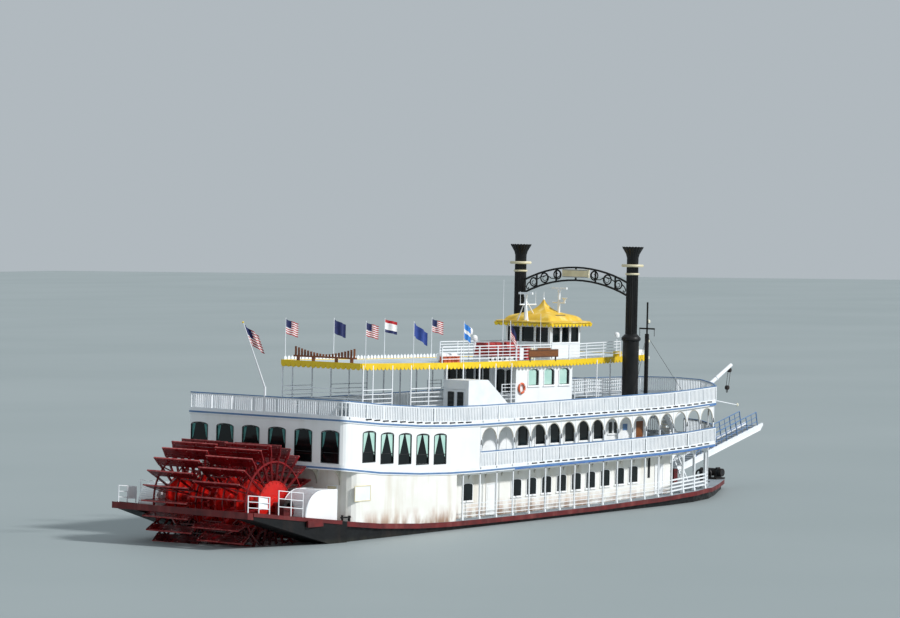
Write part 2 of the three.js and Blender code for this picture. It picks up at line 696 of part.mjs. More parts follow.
function stairLeaf(side) {
  const foot = stairFloor + 0.02;
  const edges = [side * 0.008, side * LEAF.width].sort((a, b) => a - b).map((y) => y - stairMiddle);
  const leaf = box([LEAF.x, LEAF.x + LEAF.thick], edges, [foot, foot + LEAF.height]);
  const pane = windowTool('x', (edges[0] + edges[1]) / 2, stairFloor + 1.05, 0.42, 0.75, 0.02, 12, 15);
  return leaf.subtract(pane).add(knuckles(LEAF.x, side * LEAF.width - stairMiddle, stairFloor));
}

add('stair_house', 'grey', stairHouse());
add('stair_house_leaf_inner', 'grey', stairLeaf(1));
add('stair_house_leaf_outer', 'grey', stairLeaf(-1));

// Texas house on its low trunk, under the boat deck.

const TEXAS = { aft: 21.35, fore: 27.55, half: 2.9 };
const TRUNK = { aft: 19.6, fore: 33.2, half: 3.05, top: 7.62 };
// Boat deck: x, top.
const BOAT_DECK = [[5.2, 10.36], [13.4, 10.26], [27.0, 10.24], [36.0, 10.42]];
const BOAT_DECK_HALF = 3.12;
const BOAT_DECK_THICK = 0.12;

function boatDeckLayer(low, high, rows = BOAT_DECK) {
  const floor = rows.map(([x, z]) => [x, z + low]);
  const ceiling = rows.map(([x, z]) => [x, z + high]).reverse();
  return prism('y', [...floor, ...ceiling], -4, 4);
}

function boatDeckTop(x) {
  const after = Math.max(1, BOAT_DECK.findIndex((row) => row[0] >= x));
  const [a, b] = [BOAT_DECK[after - 1], BOAT_DECK[after]];
  return a[1] + ((b[1] - a[1]) * (x - a[0])) / (b[0] - a[0]);
}

const BELOW_BOAT_DECK = prism('y', [
  [5.2, 0], [36, 0], ...[...BOAT_DECK].reverse().map(([x, z]) => [x, z - BOAT_DECK_THICK - GAP]),
], -4, 4);

const trunk = box([TRUNK.aft, TRUNK.fore], [-TRUNK.half, TRUNK.half], [6, TRUNK.top]);
add('texas_trunk', 'white', trunk.intersect(ABOVE_HURRICANE));

const texasFoot = TRUNK.top + GAP;

// Texas windows: middle, width, sill, height and rise of the head.
const TEXAS_SIDE = [
  [23.24, 1.12, 8.66, 1.06, 0.16],
  [24.95, 1.12, 8.66, 1.06, 0.16],
  [26.62, 1.12, 8.66, 1.06, 0.16],
];
const TEXAS_AFT = [
  [-2.4, 0.54, 8.2, 1.5, 0.1],
  [-1.7, 0.66, 8.2, 1.5, 0.1],
  [-0.25, 1.12, 8.0, 1.85, 0.02],
  [1.5, 2.1, 8.0, 1.85, 0.02],
];
const TEXAS_FORE = [
  [-1.5, 0.9, 8.66, 1.2, 0.02],
  [0, 0.9, 8.66, 1.2, 0.02],
  [1.5, 0.9, 8.66, 1.2, 0.02],
];

function texasSideWall() {
  const wall = box([TEXAS.aft, TEXAS.fore], [TEXAS.half - WALL, TEXAS.half], [texasFoot, 12]);
  const tools = TEXAS_SIDE.map(([x, width, sill, height, rise]) =>
    windowTool('y', x, sill, width, height, rise, 2, 4));
  return cut(wall, tools).intersect(BELOW_BOAT_DECK);
}

function texasEndWall(x, windows) {
  const inner = TEXAS.half - WALL - GAP;
  const wall = box([x, x + WALL], [-inner, inner], [texasFoot, 12]).intersect(BELOW_BOAT_DECK);
  const tools = windows.map(([y, width, sill, height, rise]) =>
    windowTool('x', y, sill, width, height, rise, x - 1, x + 1));
  return cut(wall, tools);
}

addPair('texas_wall', 'white', texasSideWall());
add('texas_wall_aft', 'white', texasEndWall(TEXAS.aft, TEXAS_AFT));
add('texas_wall_fore', 'white', texasEndWall(TEXAS.fore - WALL, TEXAS_FORE));

add('boat_deck', 'yellow', box([5.25, 35.95], [-BOAT_DECK_HALF, BOAT_DECK_HALF], [9, 12])
  .intersect(boatDeckLayer(-BOAT_DECK_THICK, 0)));

// Frames along the boat deck's edges: posts, the deep yellow edge board, rail and flagpoles.

const FRAME_LINE = BOAT_DECK_HALF + GAP;
const FRAME_THICK = 0.07;
const AFT_POSTS = [5.4, 6.35, 8.25, 10.1, 11.9, 13.7, 15.4, 17.1, 18.8, 20.5];
const FORE_POSTS = [29.95, 31.5, 33.3, 35.8];
const FLAGPOLES = [5.6, 10.3, 15.4, 20.3];
const BOARD_DEPTH = 0.32;
const BOAT_RAIL = { starboard: 13.2, port: 21.2, fore: 32.6, height: 1.05, spacing: 2.0 };
const FLAGPOLE_TOP = 2.6;

function canopyFrame(railAft) {
  const [inner, outer] = [FRAME_LINE, FRAME_LINE + FRAME_THICK];
  const board = box([5.25, 35.95], [inner, outer], [9, 12]).intersect(boatDeckLayer(-BOARD_DEPTH, 0.03));
  const across = [inner + 0.005, outer - 0.005];
  const post = (x) => box([x - 0.04, x + 0.04], across, [6, boatDeckTop(x) - 0.1]);
  const posts = FORE_POSTS.map(post);
  for (const x of AFT_POSTS) {
    posts.push(post(x));
  }
  const railLength = BOAT_RAIL.fore - railAft;
  const stanchions = Math.round(railLength / BOAT_RAIL.spacing);
  for (let index = 0; index <= stanchions; index += 1) {
    const x = railAft + (railLength * index) / stanchions;
    const top = boatDeckTop(x) + BOAT_RAIL.height - 0.03;
    posts.push(box([x - 0.035, x + 0.035], [inner + 0.01, outer - 0.01], [boatDeckTop(x) - 0.1, top]));
  }
  const cap = box([railAft - 0.05, BOAT_RAIL.fore + 0.05], [inner, outer], [9, 12])
    .intersect(boatDeckLayer(BOAT_RAIL.height - 0.07, BOAT_RAIL.height));
  const middle = inner + FRAME_THICK / 2;
  const poles = FLAGPOLES.map((x) => bar(
    [x, middle, boatDeckTop(x) - 0.2], [x, middle, boatDeckTop(x) + FLAGPOLE_TOP], 0.028, 6));
  return join([board, ...posts, cap, ...poles]).intersect(layer(HURRICANE, GAP, HURRICANE, 8));
}

add('canopy_frame_starboard', 'white', mirrored(canopyFrame(BOAT_RAIL.starboard)));
add('canopy_frame_port', 'white', canopyFrame(BOAT_RAIL.port));

// Pilot house on the boat deck.

const PILOT = { aft: 26.55, fore: 29.9, half: 1.8, top: 12.55, sill: 11.33, head: 12.3 };

const pilotFloor = boatDeckLayer(GAP, 2.6).intersect(box([20, 35], [-3, 3], [9, PILOT.top]));

function pilotSideWall() {
  const wall = box([PILOT.aft, PILOT.fore], [PILOT.half - 0.1, PILOT.half], [9, 13]);
  const tools = [0, 1, 2].map((index) => windowTool(
    'y', PILOT.aft + 0.62 + index * 1.03, PILOT.sill, 0.86, PILOT.head - PILOT.sill, 0.02, 1, 3));
  return cut(wall, tools).intersect(pilotFloor);
}

function pilotEndWall(x) {
  const inner = PILOT.half - 0.1 - GAP;
  const wall = box([x, x + 0.1], [-inner, inner], [9, 13]);
  const tools = [-1, 0, 1].map((index) => windowTool(
    'x', index * 1.14, PILOT.sill, 0.98, PILOT.head - PILOT.sill, 0.02, x - 1, x + 1));
  return cut(wall, tools).intersect(pilotFloor);
}

addPair('pilot_house_wall', 'white', pilotSideWall());
add('pilot_house_wall_aft', 'white', pilotEndWall(PILOT.aft));
add('pilot_house_wall_fore', 'white', pilotEndWall(PILOT.fore - 0.1));

// Roof: rows of half-length, half-width and height of its rectangular courses.
const ROOF_COURSES = [
  [2.32, 2.32, 12.55],
  [2.32, 2.32, 12.67],
  [1.88, 1.88, 12.78],
  [1.7, 1.7, 12.95],
  [1.2, 1.2, 13.14],
  [0.85, 0.85, 13.24],
  [0.5, 0.5, 13.42],
  [0.2, 0.2, 13.72],
  [0.03, 0.03, 14.05],
];
const ROOF_CENTRE = (PILOT.aft + PILOT.fore) / 2;

function courses(rows, x) {
  const positions = [];
  const index = [];
  for (const [length, width, z] of rows) {
    positions.push(-length, -width, z, length, -width, z, length, width, z, -length, width, z);
  }
  const last = 4 * (rows.length - 1);
  index.push(0, 2, 1, 0, 3, 2, last, last + 1, last + 2, last, last + 2, last + 3);
  for (let row = 0; row < rows.length - 1; row += 1) {
    for (let side = 0; side < 4; side += 1) {
      const [a, b] = [4 * row + side, 4 * row + ((side + 1) % 4)];
      index.push(a, b, b + 4, a, b + 4, a + 4);
    }
  }
  const geometry = new THREE.BufferGeometry();
  geometry.setAttribute('position', new THREE.Float32BufferAttribute(positions, 3));
  geometry.setIndex(index);
  geometry.translate(x, 0, 0);
  return toSolid(geometry);
}

const SCANNERS = [
  { name: 'radar_scanner_fore', x: 28.75, y: -0.85, foot: 12.7, top: 14.6, reach: 0.62 },
  { name: 'radar_scanner_aft', x: 26.35, y: 0.1, foot: 12.6, top: 14.25, reach: 0.55 },
];

function pilotRoof() {
  const roof = courses(ROOF_COURSES, ROOF_CENTRE);
  const posts = SCANNERS.map(({ x, y, foot, top }) => bar([x, y, foot], [x, y, top], 0.09, 8));
  return join([roof.translate([0, 0, GAP]), ...posts]);
}

function scanner({ x, y, top, reach }) {
  const foot = top + GAP;
  const arm = box([x - 0.07, x + 0.07], [y - reach, y + reach], [foot + 0.16, foot + 0.3]);
  return arm.add(bar([x, y, foot], [x, y, foot + 0.2], 0.12, 10));
}

add('pilot_house_roof', 'yellow', pilotRoof());
SCANNERS.forEach((place) => add(place.name, 'white', scanner(place)));

// Smoke stacks: radius, height.
const STACK_X = 31.8;
const STACK_Y = 4.56;
const STACK_PROFILE = [
  [0, 0], [0.54, 0], [0.54, 4.45], [0.64, 4.5], [0.64, 4.72], [0.38, 4.9],
  [0.38, 8.83], [0.47, 8.85], [0.47, 8.93], [0.38, 8.95],
  [0.38, 9.35], [0.73, 9.39], [0.73, 9.48], [0.38, 9.52],
  [0.38, 9.98], [0.5, 10.3], [0.7, 10.6], [0.7, 10.7], [0.55, 10.7], [0.34, 10.1], [0, 10.1],
];

const stackFoot = sheer(HURRICANE, STACK_X + 0.62) + GAP;
addPair('smoke_stack', 'black', turned(STACK_PROFILE, STACK_X, STACK_Y, stackFoot, 16));

// Ornamental double arch between the stacks.
const ARCH_END = STACK_Y - 0.38 - GAP;

function arch(endHeight, crest, depth) {
  const rise = crest - endHeight;
  const radius = (ARCH_END * ARCH_END + rise * rise) / (2 * rise);
  const centre = crest - radius;
  const half = Math.asin(ARCH_END / radius);
  const shape = new THREE.Shape();
  shape.absarc(0, centre, radius, Math.PI / 2 - half, Math.PI / 2 + half, false);
  shape.absarc(0, centre, radius - depth, Math.PI / 2 + half, Math.PI / 2 - half, true);
  shape.closePath();
  return prism('x', shape, STACK_X - 0.05, STACK_X + 0.05, 7);
}

function stackArch() {
  const lower = arch(14.5, 15.4, 0.12);
  const upper = arch(15.35, 16.25, 0.12);
  const struts = [-3.2, -1.6, 0, 1.6, 3.2].map((y) => {
    const lift = 0.9 * (1 - (y * y) / (ARCH_END * ARCH_END));
    return box([STACK_X - 0.04, STACK_X + 0.04], [y - 0.05, y + 0.05], [14.45 + lift, 15.3 + lift]);
  });
  return join([lower, upper, ...struts]).intersect(box([31, 33], [-ARCH_END, ARCH_END], [13, 17]));
}

add('stack_arch', 'black', stackArch());

// Signal mast beside the starboard stack.
const MAST = { x: 33.75, y: -4.5, top: 14.0 };
const mastFoot = sheer(HURRICANE, MAST.x + 0.14) + GAP;
add('signal_mast', 'black', join([
  bar([MAST.x, MAST.y, mastFoot], [MAST.x, MAST.y, 11.9], 0.14, 10),
  bar([MAST.x, MAST.y, 11.8], [MAST.x, MAST.y, MAST.top], 0.06, 8),
  box([MAST.x - 0.04, MAST.x + 0.04], [MAST.y - 0.6, MAST.y + 0.6], [12.2, 12.3]),
]));

// Boom and landing stage at the bow.

const BOOM = { length: 8.75, angle: 25.8, radius: 0.17, tip: 0.13 };

function boom() {
  const spar = bar([0.3, 0, 0], [BOOM.length, 0, 0], BOOM.radius, 12, BOOM.tip);
  const neck = box([0, 0.6], [-0.12, 0.12], [-0.12, 0.12]);
  const eye = bar([0, -0.19, 0], [0, 0.19, 0], 0.15, 12).add(neck);
  const pin = bar([0, -0.34, 0], [0, 0.34, 0], BOOM_PIN_RADIUS, PIN_SIDES);
  return join([spar, eye, pin]).rotate([0, -BOOM.angle, 0]).translate([BOOM_PIN[0], 0, BOOM_PIN[1]]);
}

const STAGE = { length: 11.75, angle: 13.9, half: 0.7, toe: 0.05, beam: 0.12 };

function landingStage() {
  const side = (y) => prism('y', [
    [0.15, -0.2], [0.8, -0.21], [STAGE.length - 0.4, -0.21], [STAGE.length, STAGE.toe],
    [STAGE.length, 0.21], [0.8, 0.21], [0.15, 0.1],
  ], y - STAGE.beam / 2, y + STAGE.beam / 2);
  const floor = box([0.1, STAGE.length - 0.1], [-STAGE.half, STAGE.half], [-0.02, 0.05]);
  const parts = [side(-STAGE.half), side(STAGE.half), floor];
  for (const y of [-STAGE.half, STAGE.half]) {
    for (let index = 0; index < 7; index += 1) {
      const x = 3.0 + index * 1.35;
      parts.push(box([x - 0.03, x + 0.03], [y - 0.03, y + 0.03], [0.15, 1.2]));
    }
    parts.push(box([2.97, 11.13], [y - 0.03, y + 0.03], [1.14, 1.2]));
  }
  parts.push(bar([0, -0.95, 0], [0, 0.95, 0], PIN_RADIUS, PIN_SIDES));
  parts.push(box([-0.1, 0.3], [-0.6, 0.6], [-0.1, 0.1]));
  return join(parts).rotate([0, -STAGE.angle, 0]).translate([STAGE_PIN[0], 0, STAGE_PIN[1]]);
}

add('boom', 'white', boom());
add('landing_stage', 'white', landingStage());

// Windlass on the fore deck.
const WINDLASS = { x: 48.9, z: 1.85, top: 2.2, drum: 0.28, half: 0.9, bed: 0.55 };

function windlass() {
  const { x, z, top, half } = WINDLASS;
  const foot = sheer(MAIN, x - WINDLASS.bed) + GAP;
  const bed = box([x - WINDLASS.bed, x + WINDLASS.bed], [-0.75, 0.75], [foot, foot + 0.12]);
  const drum = bar([x, -half, z], [x, half, z], WINDLASS.drum, 14);
  const frames = [-0.5, 0.5].map((y) => prism('y', [
    [x - 0.45, foot], [x + 0.45, foot], [x + 0.2, top], [x - 0.2, top],
  ], y - 0.06, y + 0.06));
  return join([bed, drum, ...frames]);
}

add('windlass', 'steel', windlass());

// Steam calliope across the aft edge of the boat deck.
const CALLIOPE = { x: 5.6, half: 2.4, depth: 0.12, leg: 0.24, chest: 0.1, pipes: 20, radius: 0.07 };
const CALLIOPE_LEGS = [-2.1, -0.9, 0.9, 2.1];

// The pipes are short in the middle and grow towards both ends.
function calliope() {
  const { x, half, depth, leg, chest, pipes, radius } = CALLIOPE;
  const floor = boatDeckTop(x - depth) + GAP;
  const foot = floor + leg;
  const parts = [box([x - depth, x + depth], [-half, half], [foot, foot + chest])];
  for (const y of CALLIOPE_LEGS) {
    parts.push(box([x - depth, x + depth], [y - 0.04, y + 0.04], [floor, foot + 0.02]));
  }
  for (let pipe = 0; pipe < pipes; pipe += 1) {
    const y = (half - 0.1) * ((2 * pipe) / (pipes - 1) - 1);
    const height = 0.12 + 0.44 * (Math.abs(y) / half) ** 1.5;
    parts.push(bar([x, y, foot + 0.05], [x, y, foot + chest + height], radius, 6));
  }
  return join(parts);
}

add('calliope', 'brown', calliope());

// Stand the boat on its bottom, with the middle of its length over the origin.
const stageAngle = (STAGE.angle * Math.PI) / 180;
const bowEnd = STAGE_PIN[0] + STAGE.length * Math.cos(stageAngle) - STAGE.toe * Math.sin(stageAngle);
boat.position.set(-((BEAM_AFT + bowEnd) / 2) * MODEL_SCALE, 0, DRAFT * MODEL_SCALE);

export default boat;
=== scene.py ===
"""Dresses a half-size stern-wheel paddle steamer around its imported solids.

Sizes and places are in metres on the full-size boat: x runs forward from the stern face of the
upper house, y to port, and z up from the water. place() turns a point into the frame's metres.
"""

import math

import bmesh
import bpy
from mathutils import Matrix, Vector


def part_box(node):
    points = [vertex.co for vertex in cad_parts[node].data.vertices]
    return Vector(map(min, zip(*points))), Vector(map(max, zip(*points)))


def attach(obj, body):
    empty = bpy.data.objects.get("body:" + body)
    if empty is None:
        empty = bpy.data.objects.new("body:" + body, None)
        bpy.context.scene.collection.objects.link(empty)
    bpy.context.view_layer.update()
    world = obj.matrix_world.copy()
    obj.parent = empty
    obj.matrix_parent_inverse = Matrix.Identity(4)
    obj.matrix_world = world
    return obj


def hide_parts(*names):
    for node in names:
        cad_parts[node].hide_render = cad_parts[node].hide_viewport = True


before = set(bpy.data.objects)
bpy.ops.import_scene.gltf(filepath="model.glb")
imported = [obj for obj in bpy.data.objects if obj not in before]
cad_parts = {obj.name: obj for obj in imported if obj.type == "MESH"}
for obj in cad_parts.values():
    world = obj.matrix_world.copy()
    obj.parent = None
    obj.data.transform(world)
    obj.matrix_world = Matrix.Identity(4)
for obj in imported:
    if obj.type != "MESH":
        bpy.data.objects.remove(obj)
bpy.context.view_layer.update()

# The frame: half size, with the flat bottom at zero.
SCALE = 0.5
DRAFT = 1.8
BEAM_AFT = -7.5
CENTRE = BEAM_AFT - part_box("aft_cross_beam")[0].x / SCALE


def place(point):
    x, y, z = point
    return ((x - CENTRE) * SCALE, y * SCALE, (z + DRAFT) * SCALE)


def unplace(point):
    return (point[0] / SCALE + CENTRE, point[1] / SCALE, point[2] / SCALE - DRAFT)


# Driving sizes.
HALF_BEAM = 6.1
DECK_HALF = HALF_BEAM + 0.06
GALLERY_HALF = 4.95
LOWER_HALF = 5.1
COLUMN_LINE = 5.98
DECK = 0.18
BAY = 1.65
ARCH_PIER = 0.09
ARCH_HEAD = 0.16
RAIL_HEIGHT = 1.1
STERN_CORNER = 0.45
LOWER_HOUSE_AFT = 0.9
GALLERY_AFT = 13.4
DECK_FORE = 39.8
BAY_CHANGE = 20.5

# Plans of the upper decks and their rails at the front: x, half-beam.
UPPER_FRONT = [(DECK_FORE, DECK_HALF), (41.7, 4.62), (43.6, 2.45), (44.2, 0.9)]


class Level:
    """The top of a deck along the boat, read from the frame's vertices beyond some half-breadth."""

    def __init__(self, nodes, beyond, above=0.5):
        tops = {}
        for node in nodes:
            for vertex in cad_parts[node].data.vertices:
                x, y, z = unplace(vertex.co)
                if abs(y) > beyond and z > above:
                    key = round(x, 2)
                    tops[key] = max(z, tops.get(key, z))
        self.rows = sorted(tops.items())
        self.knots = [x for x, _ in self.rows]

    def __call__(self, x):
        rows = self.rows
        if x <= rows[0][0]:
            return rows[0][1]
        for (x0, z0), (x1, z1) in zip(rows, rows[1:]):
            if x <= x1:
                return mix(z0, z1, (x - x0) / (x1 - x0))
        return rows[-1][1]


MAIN = Level(("stern_girder_port", "main_deck"), 1.0)
PROMENADE = Level(("promenade_deck",), 0.5)
HURRICANE = Level(("hurricane_deck",), 0.5)
BOAT_DECK = Level(("boat_deck",), 0.5)


# Shapes.

HEXA_FACES = ((0, 3, 2, 1), (4, 5, 6, 7), (0, 1, 5, 4), (1, 2, 6, 5), (2, 3, 7, 6), (3, 0, 4, 7))


def mix(start, end, share):
    return start + (end - start) * share


def about(middle, reach):
    """The range that reaches as far to both sides of a middle."""
    return (middle - reach, middle + reach)


def circle(count):
    """The cosine and sine of angles spaced evenly round a circle."""
    angles = [math.tau * step / count for step in range(count)]
    return [(math.cos(angle), math.sin(angle)) for angle in angles]


def arc(centre, reach, start, end, steps):
    """Points along an ellipse from its two half sizes, between two angles in quarter turns."""
    angles = [math.pi / 2 * mix(start, end, step / steps) for step in range(steps + 1)]
    return [(centre[0] + reach[0] * math.cos(a), centre[1] + reach[1] * math.sin(a)) for a in angles]


def turned(axis, along, u, v):
    """A point from its place along an axis and its two places across it."""
    return {"x": (along, u, v), "y": (u, along, v), "z": (u, v, along)}[axis]


def symmetric(rows):
    """A lathe's profile from its half: radius and distance from the middle."""
    return [(radius, -along) for radius, along in rows] + rows[::-1]


class Shape:
    """A mesh gathered in boat metres, with a paint's name for each face."""

    def __init__(self):
        self.points = []
        self.faces = []
        self.paints = []

    def add(self, points, faces, paints):
        start = len(self.points)
        self.points.extend(tuple(point) for point in points)
        self.faces.extend(tuple(start + index for index in face) for face in faces)
        self.paints.extend(paints)

    def mirrored(self):
        other = Shape()
        other.add([(x, -y, z) for x, y, z in self.points], self.faces, self.paints)
        return other

    def hexa(self, points, paint, bottom=None, top=None):
        self.add(points, HEXA_FACES, [bottom or paint, top or paint] + [paint] * 4)

    def box(self, x, y, z, paint):
        self.hexa([(a, b, c) for c in z for a, b in rectangle(x, y)], paint)

    def loft(self, rings, paint, loop=False):
        """Skins closed rings of points, capped at both ends; loop joins the last to the first."""
        count = len(rings[0])
        faces = []
        for ring in range(len(rings) if loop else len(rings) - 1):
            low, high = ring * count, (ring + 1) % len(rings) * count
            for index in range(count):
                after = (index + 1) % count
                faces.append((low + index, low + after, high + after, high + index))
        if not loop:
            last = (len(rings) - 1) * count
            faces.append(tuple(reversed(range(count))))
            faces.append(tuple(range(last, last + count)))
        self.add([point for ring in rings for point in ring], faces, [paint] * len(faces))

    def beam(self, start, end, width, height, paint):
        """A bar of rectangular section; width is level and height is square to it."""
        start, end = Vector(start), Vector(end)
        way = (end - start).normalized()
        side = way.cross(Vector((0, 0, 1)))
        if side.length < 1e-4:
            side = Vector((0, 1, 0))
        side = side.normalized() * (width / 2)
        rise = side.cross(way).normalized() * (height / 2)
        ring = [-side - rise, side - rise, side + rise, rise - side]
        self.loft([[start + p for p in ring], [end + p for p in ring]], paint)

    def tube(self, path, radius, paint, sides=6, tip=None):
        """A round bar along a path of points, down to the tip's radius."""
        path = [Vector(point) for point in path]
        last = len(path) - 1
        rings = []
        side = None
        for index, point in enumerate(path):
            way = (path[min(index + 1, last)] - path[max(index - 1, 0)]).normalized()
            if side is None:
                side = way.cross(Vector((0, 0, 1) if abs(way.z) < 0.9 else (1, 0, 0))).normalized()
            side = (side - way * side.dot(way)).normalized()
            other = way.cross(side)
            reach = radius if tip is None else mix(radius, tip, index / last)
            rings.append([point + (side * c + other * s) * reach for c, s in circle(sides)])
        self.loft(rings, paint)

    def rod(self, start, end, radius, paint, sides=8, tip=None):
        self.tube([start, end], radius, paint, sides, tip)

    def upright(self, x, y, z, radius, paint, sides=8, tip=None):
        """A round bar straight up over a range of heights."""
        self.tube([(x, y, height) for height in z], radius, paint, sides, tip)

    def lathe(self, profile, centre, paint, sides=20, axis="z"):
        """Turns rows of radius and distance along the axis about it."""
        rings = []
        for radius, along in profile:
            offsets = [turned(axis, along, radius * c, radius * s) for c, s in circle(sides)]
            rings.append([tuple(a + b for a, b in zip(centre, offset)) for offset in offsets])
        self.loft(rings, paint)

    def ring(self, radius, thick, centre, paint, axis="y", steps=32, sides=8):
        """A torus square to the axis."""
        rings = []
        for c, s in circle(steps):
            section = [(radius + thick * a, thick * b) for a, b in circle(sides)]
            offsets = [turned(axis, along, reach * c, reach * s) for reach, along in section]
            rings.append([tuple(a + b for a, b in zip(centre, offset)) for offset in offsets])
        self.loft(rings, paint, loop=True)

    def prism(self, axis, outline, low, high, paint):
        """Outline points are (y, z), (x, z) or (x, y) for the axes x, y and z."""
        self.loft([[turned(axis, end, u, v) for u, v in outline] for end in (low, high)], paint)

    def sweep(self, path, section, paint, closed=False):
        """Carries a section along a path of x, y, z; section rows are out to the left, and up."""
        rings = []
        for (x, y, z), (nx, ny) in zip(path, mitres(path, closed)):
            rings.append([(x + nx * out, y + ny * out, z + up) for out, up in section])
        self.loft(rings, paint, loop=closed)


def shaped(build):
    """Hands a new shape to a function that fills it, and gives the shape back."""

    def run(*details):
        shape = Shape()
        build(shape, *details)
        return shape

    return run


def mitres(path, closed):
    """The level normal to the left of each point of a path, longer where the path turns."""
    normals = []
    count = len(path)
    for index in range(count if closed else count - 1):
        (x0, y0), (x1, y1) = path[index][:2], path[(index + 1) % count][:2]
        length = math.hypot(x1 - x0, y1 - y0)
        normals.append(((y0 - y1) / length, (x1 - x0) / length))
    if not closed:
        normals = [normals[0]] + normals + [normals[-1]]
    result = []
    for index in range(count):
        before, after = normals[index - 1 if closed else index], normals[index if closed else index + 1]
        share = 1 + before[0] * after[0] + before[1] * after[1]
        result.append(((before[0] + after[0]) / share, (before[1] + after[1]) / share))
    return result


def both_sides(port):
    """A closed plan from its port side, stern to bow."""
    return port + [(x, -y) for x, y in reversed(port)]


def stern_corner(x, half, radius, steps=8):
    return arc((x + radius, half - radius), (radius, radius), 2, 1, steps)


def on_deck(path, level, lift=0.0):
    """A plan path laid on a deck, with a point wherever the deck's slope changes."""
    points = []
    for (x0, y0), (x1, y1) in zip(path, path[1:]):
        knots = [x for x in level.knots if min(x0, x1) + 0.01 < x < max(x0, x1) - 0.01]
        if x1 < x0:
            knots.reverse()
        points.append((x0, y0, level(x0) + lift))
        points += [(x, mix(y0, y1, (x - x0) / (x1 - x0)), level(x) + lift) for x in knots]
    x, y = path[-1]
    return points + [(x, y, level(x) + lift)]


def spaced(path, spacing):
    """Even plan points along each straight run of a path, with every corner once."""
    points = [path[0]]
    for (x0, y0), (x1, y1) in zip(path, path[1:]):
        count = max(1, round(math.hypot(x1 - x0, y1 - y0) / spacing))
        points += [(mix(x0, x1, step / count), mix(y0, y1, step / count)) for step in range(1, count + 1)]
    return points


def clear_of(points, others, reach):
    """The points that stand further than the reach from all the others."""
    return [p for p in points if all(math.dist(p, other) > reach for other in others)]


def rectangle(out, up):
    """The corners of two ranges, as an outline or a sweep's section."""
    return [(out[0], up[0]), (out[1], up[0]), (out[1], up[1]), (out[0], up[1])]


# Paints, by the names that recur.

WHITE = "white_paint"
TRIM = "trim_white_paint"
SHADE = "shaded_white_paint"
CREAM = "cream_paint"
BLUE = "blue_grey_paint"
DARK_GREY = "dark_grey_paint"
DECK_GREY = "deck_paint"
YELLOW = "yellow_paint"
CRIMSON = "crimson_paint"
GUARD_RED = "guard_red_paint"
HUB_RED = "hub_orange_paint"
FLOAT_RED = "float_red"
HULL_BLACK = "hull_black_paint"
STACK_BLACK = "stack_black_paint"
SLOT = "slot_black"
STEEL = "dark_steel"
GLASS = "window_glass"
LAMP = "lamp_glass"
PLASTIC = "scanner_white"


def linear(code):
    """The linear colour of a #rrggbb code."""
    channels = [int(code[index:index + 2], 16) / 255 for index in (1, 3, 5)]
    curve = [c / 12.92 if c <= 0.04045 else ((c + 0.055) / 1.055) ** 2.4 for c in channels]
    return (*curve, 1.0)


PAINTS = {}


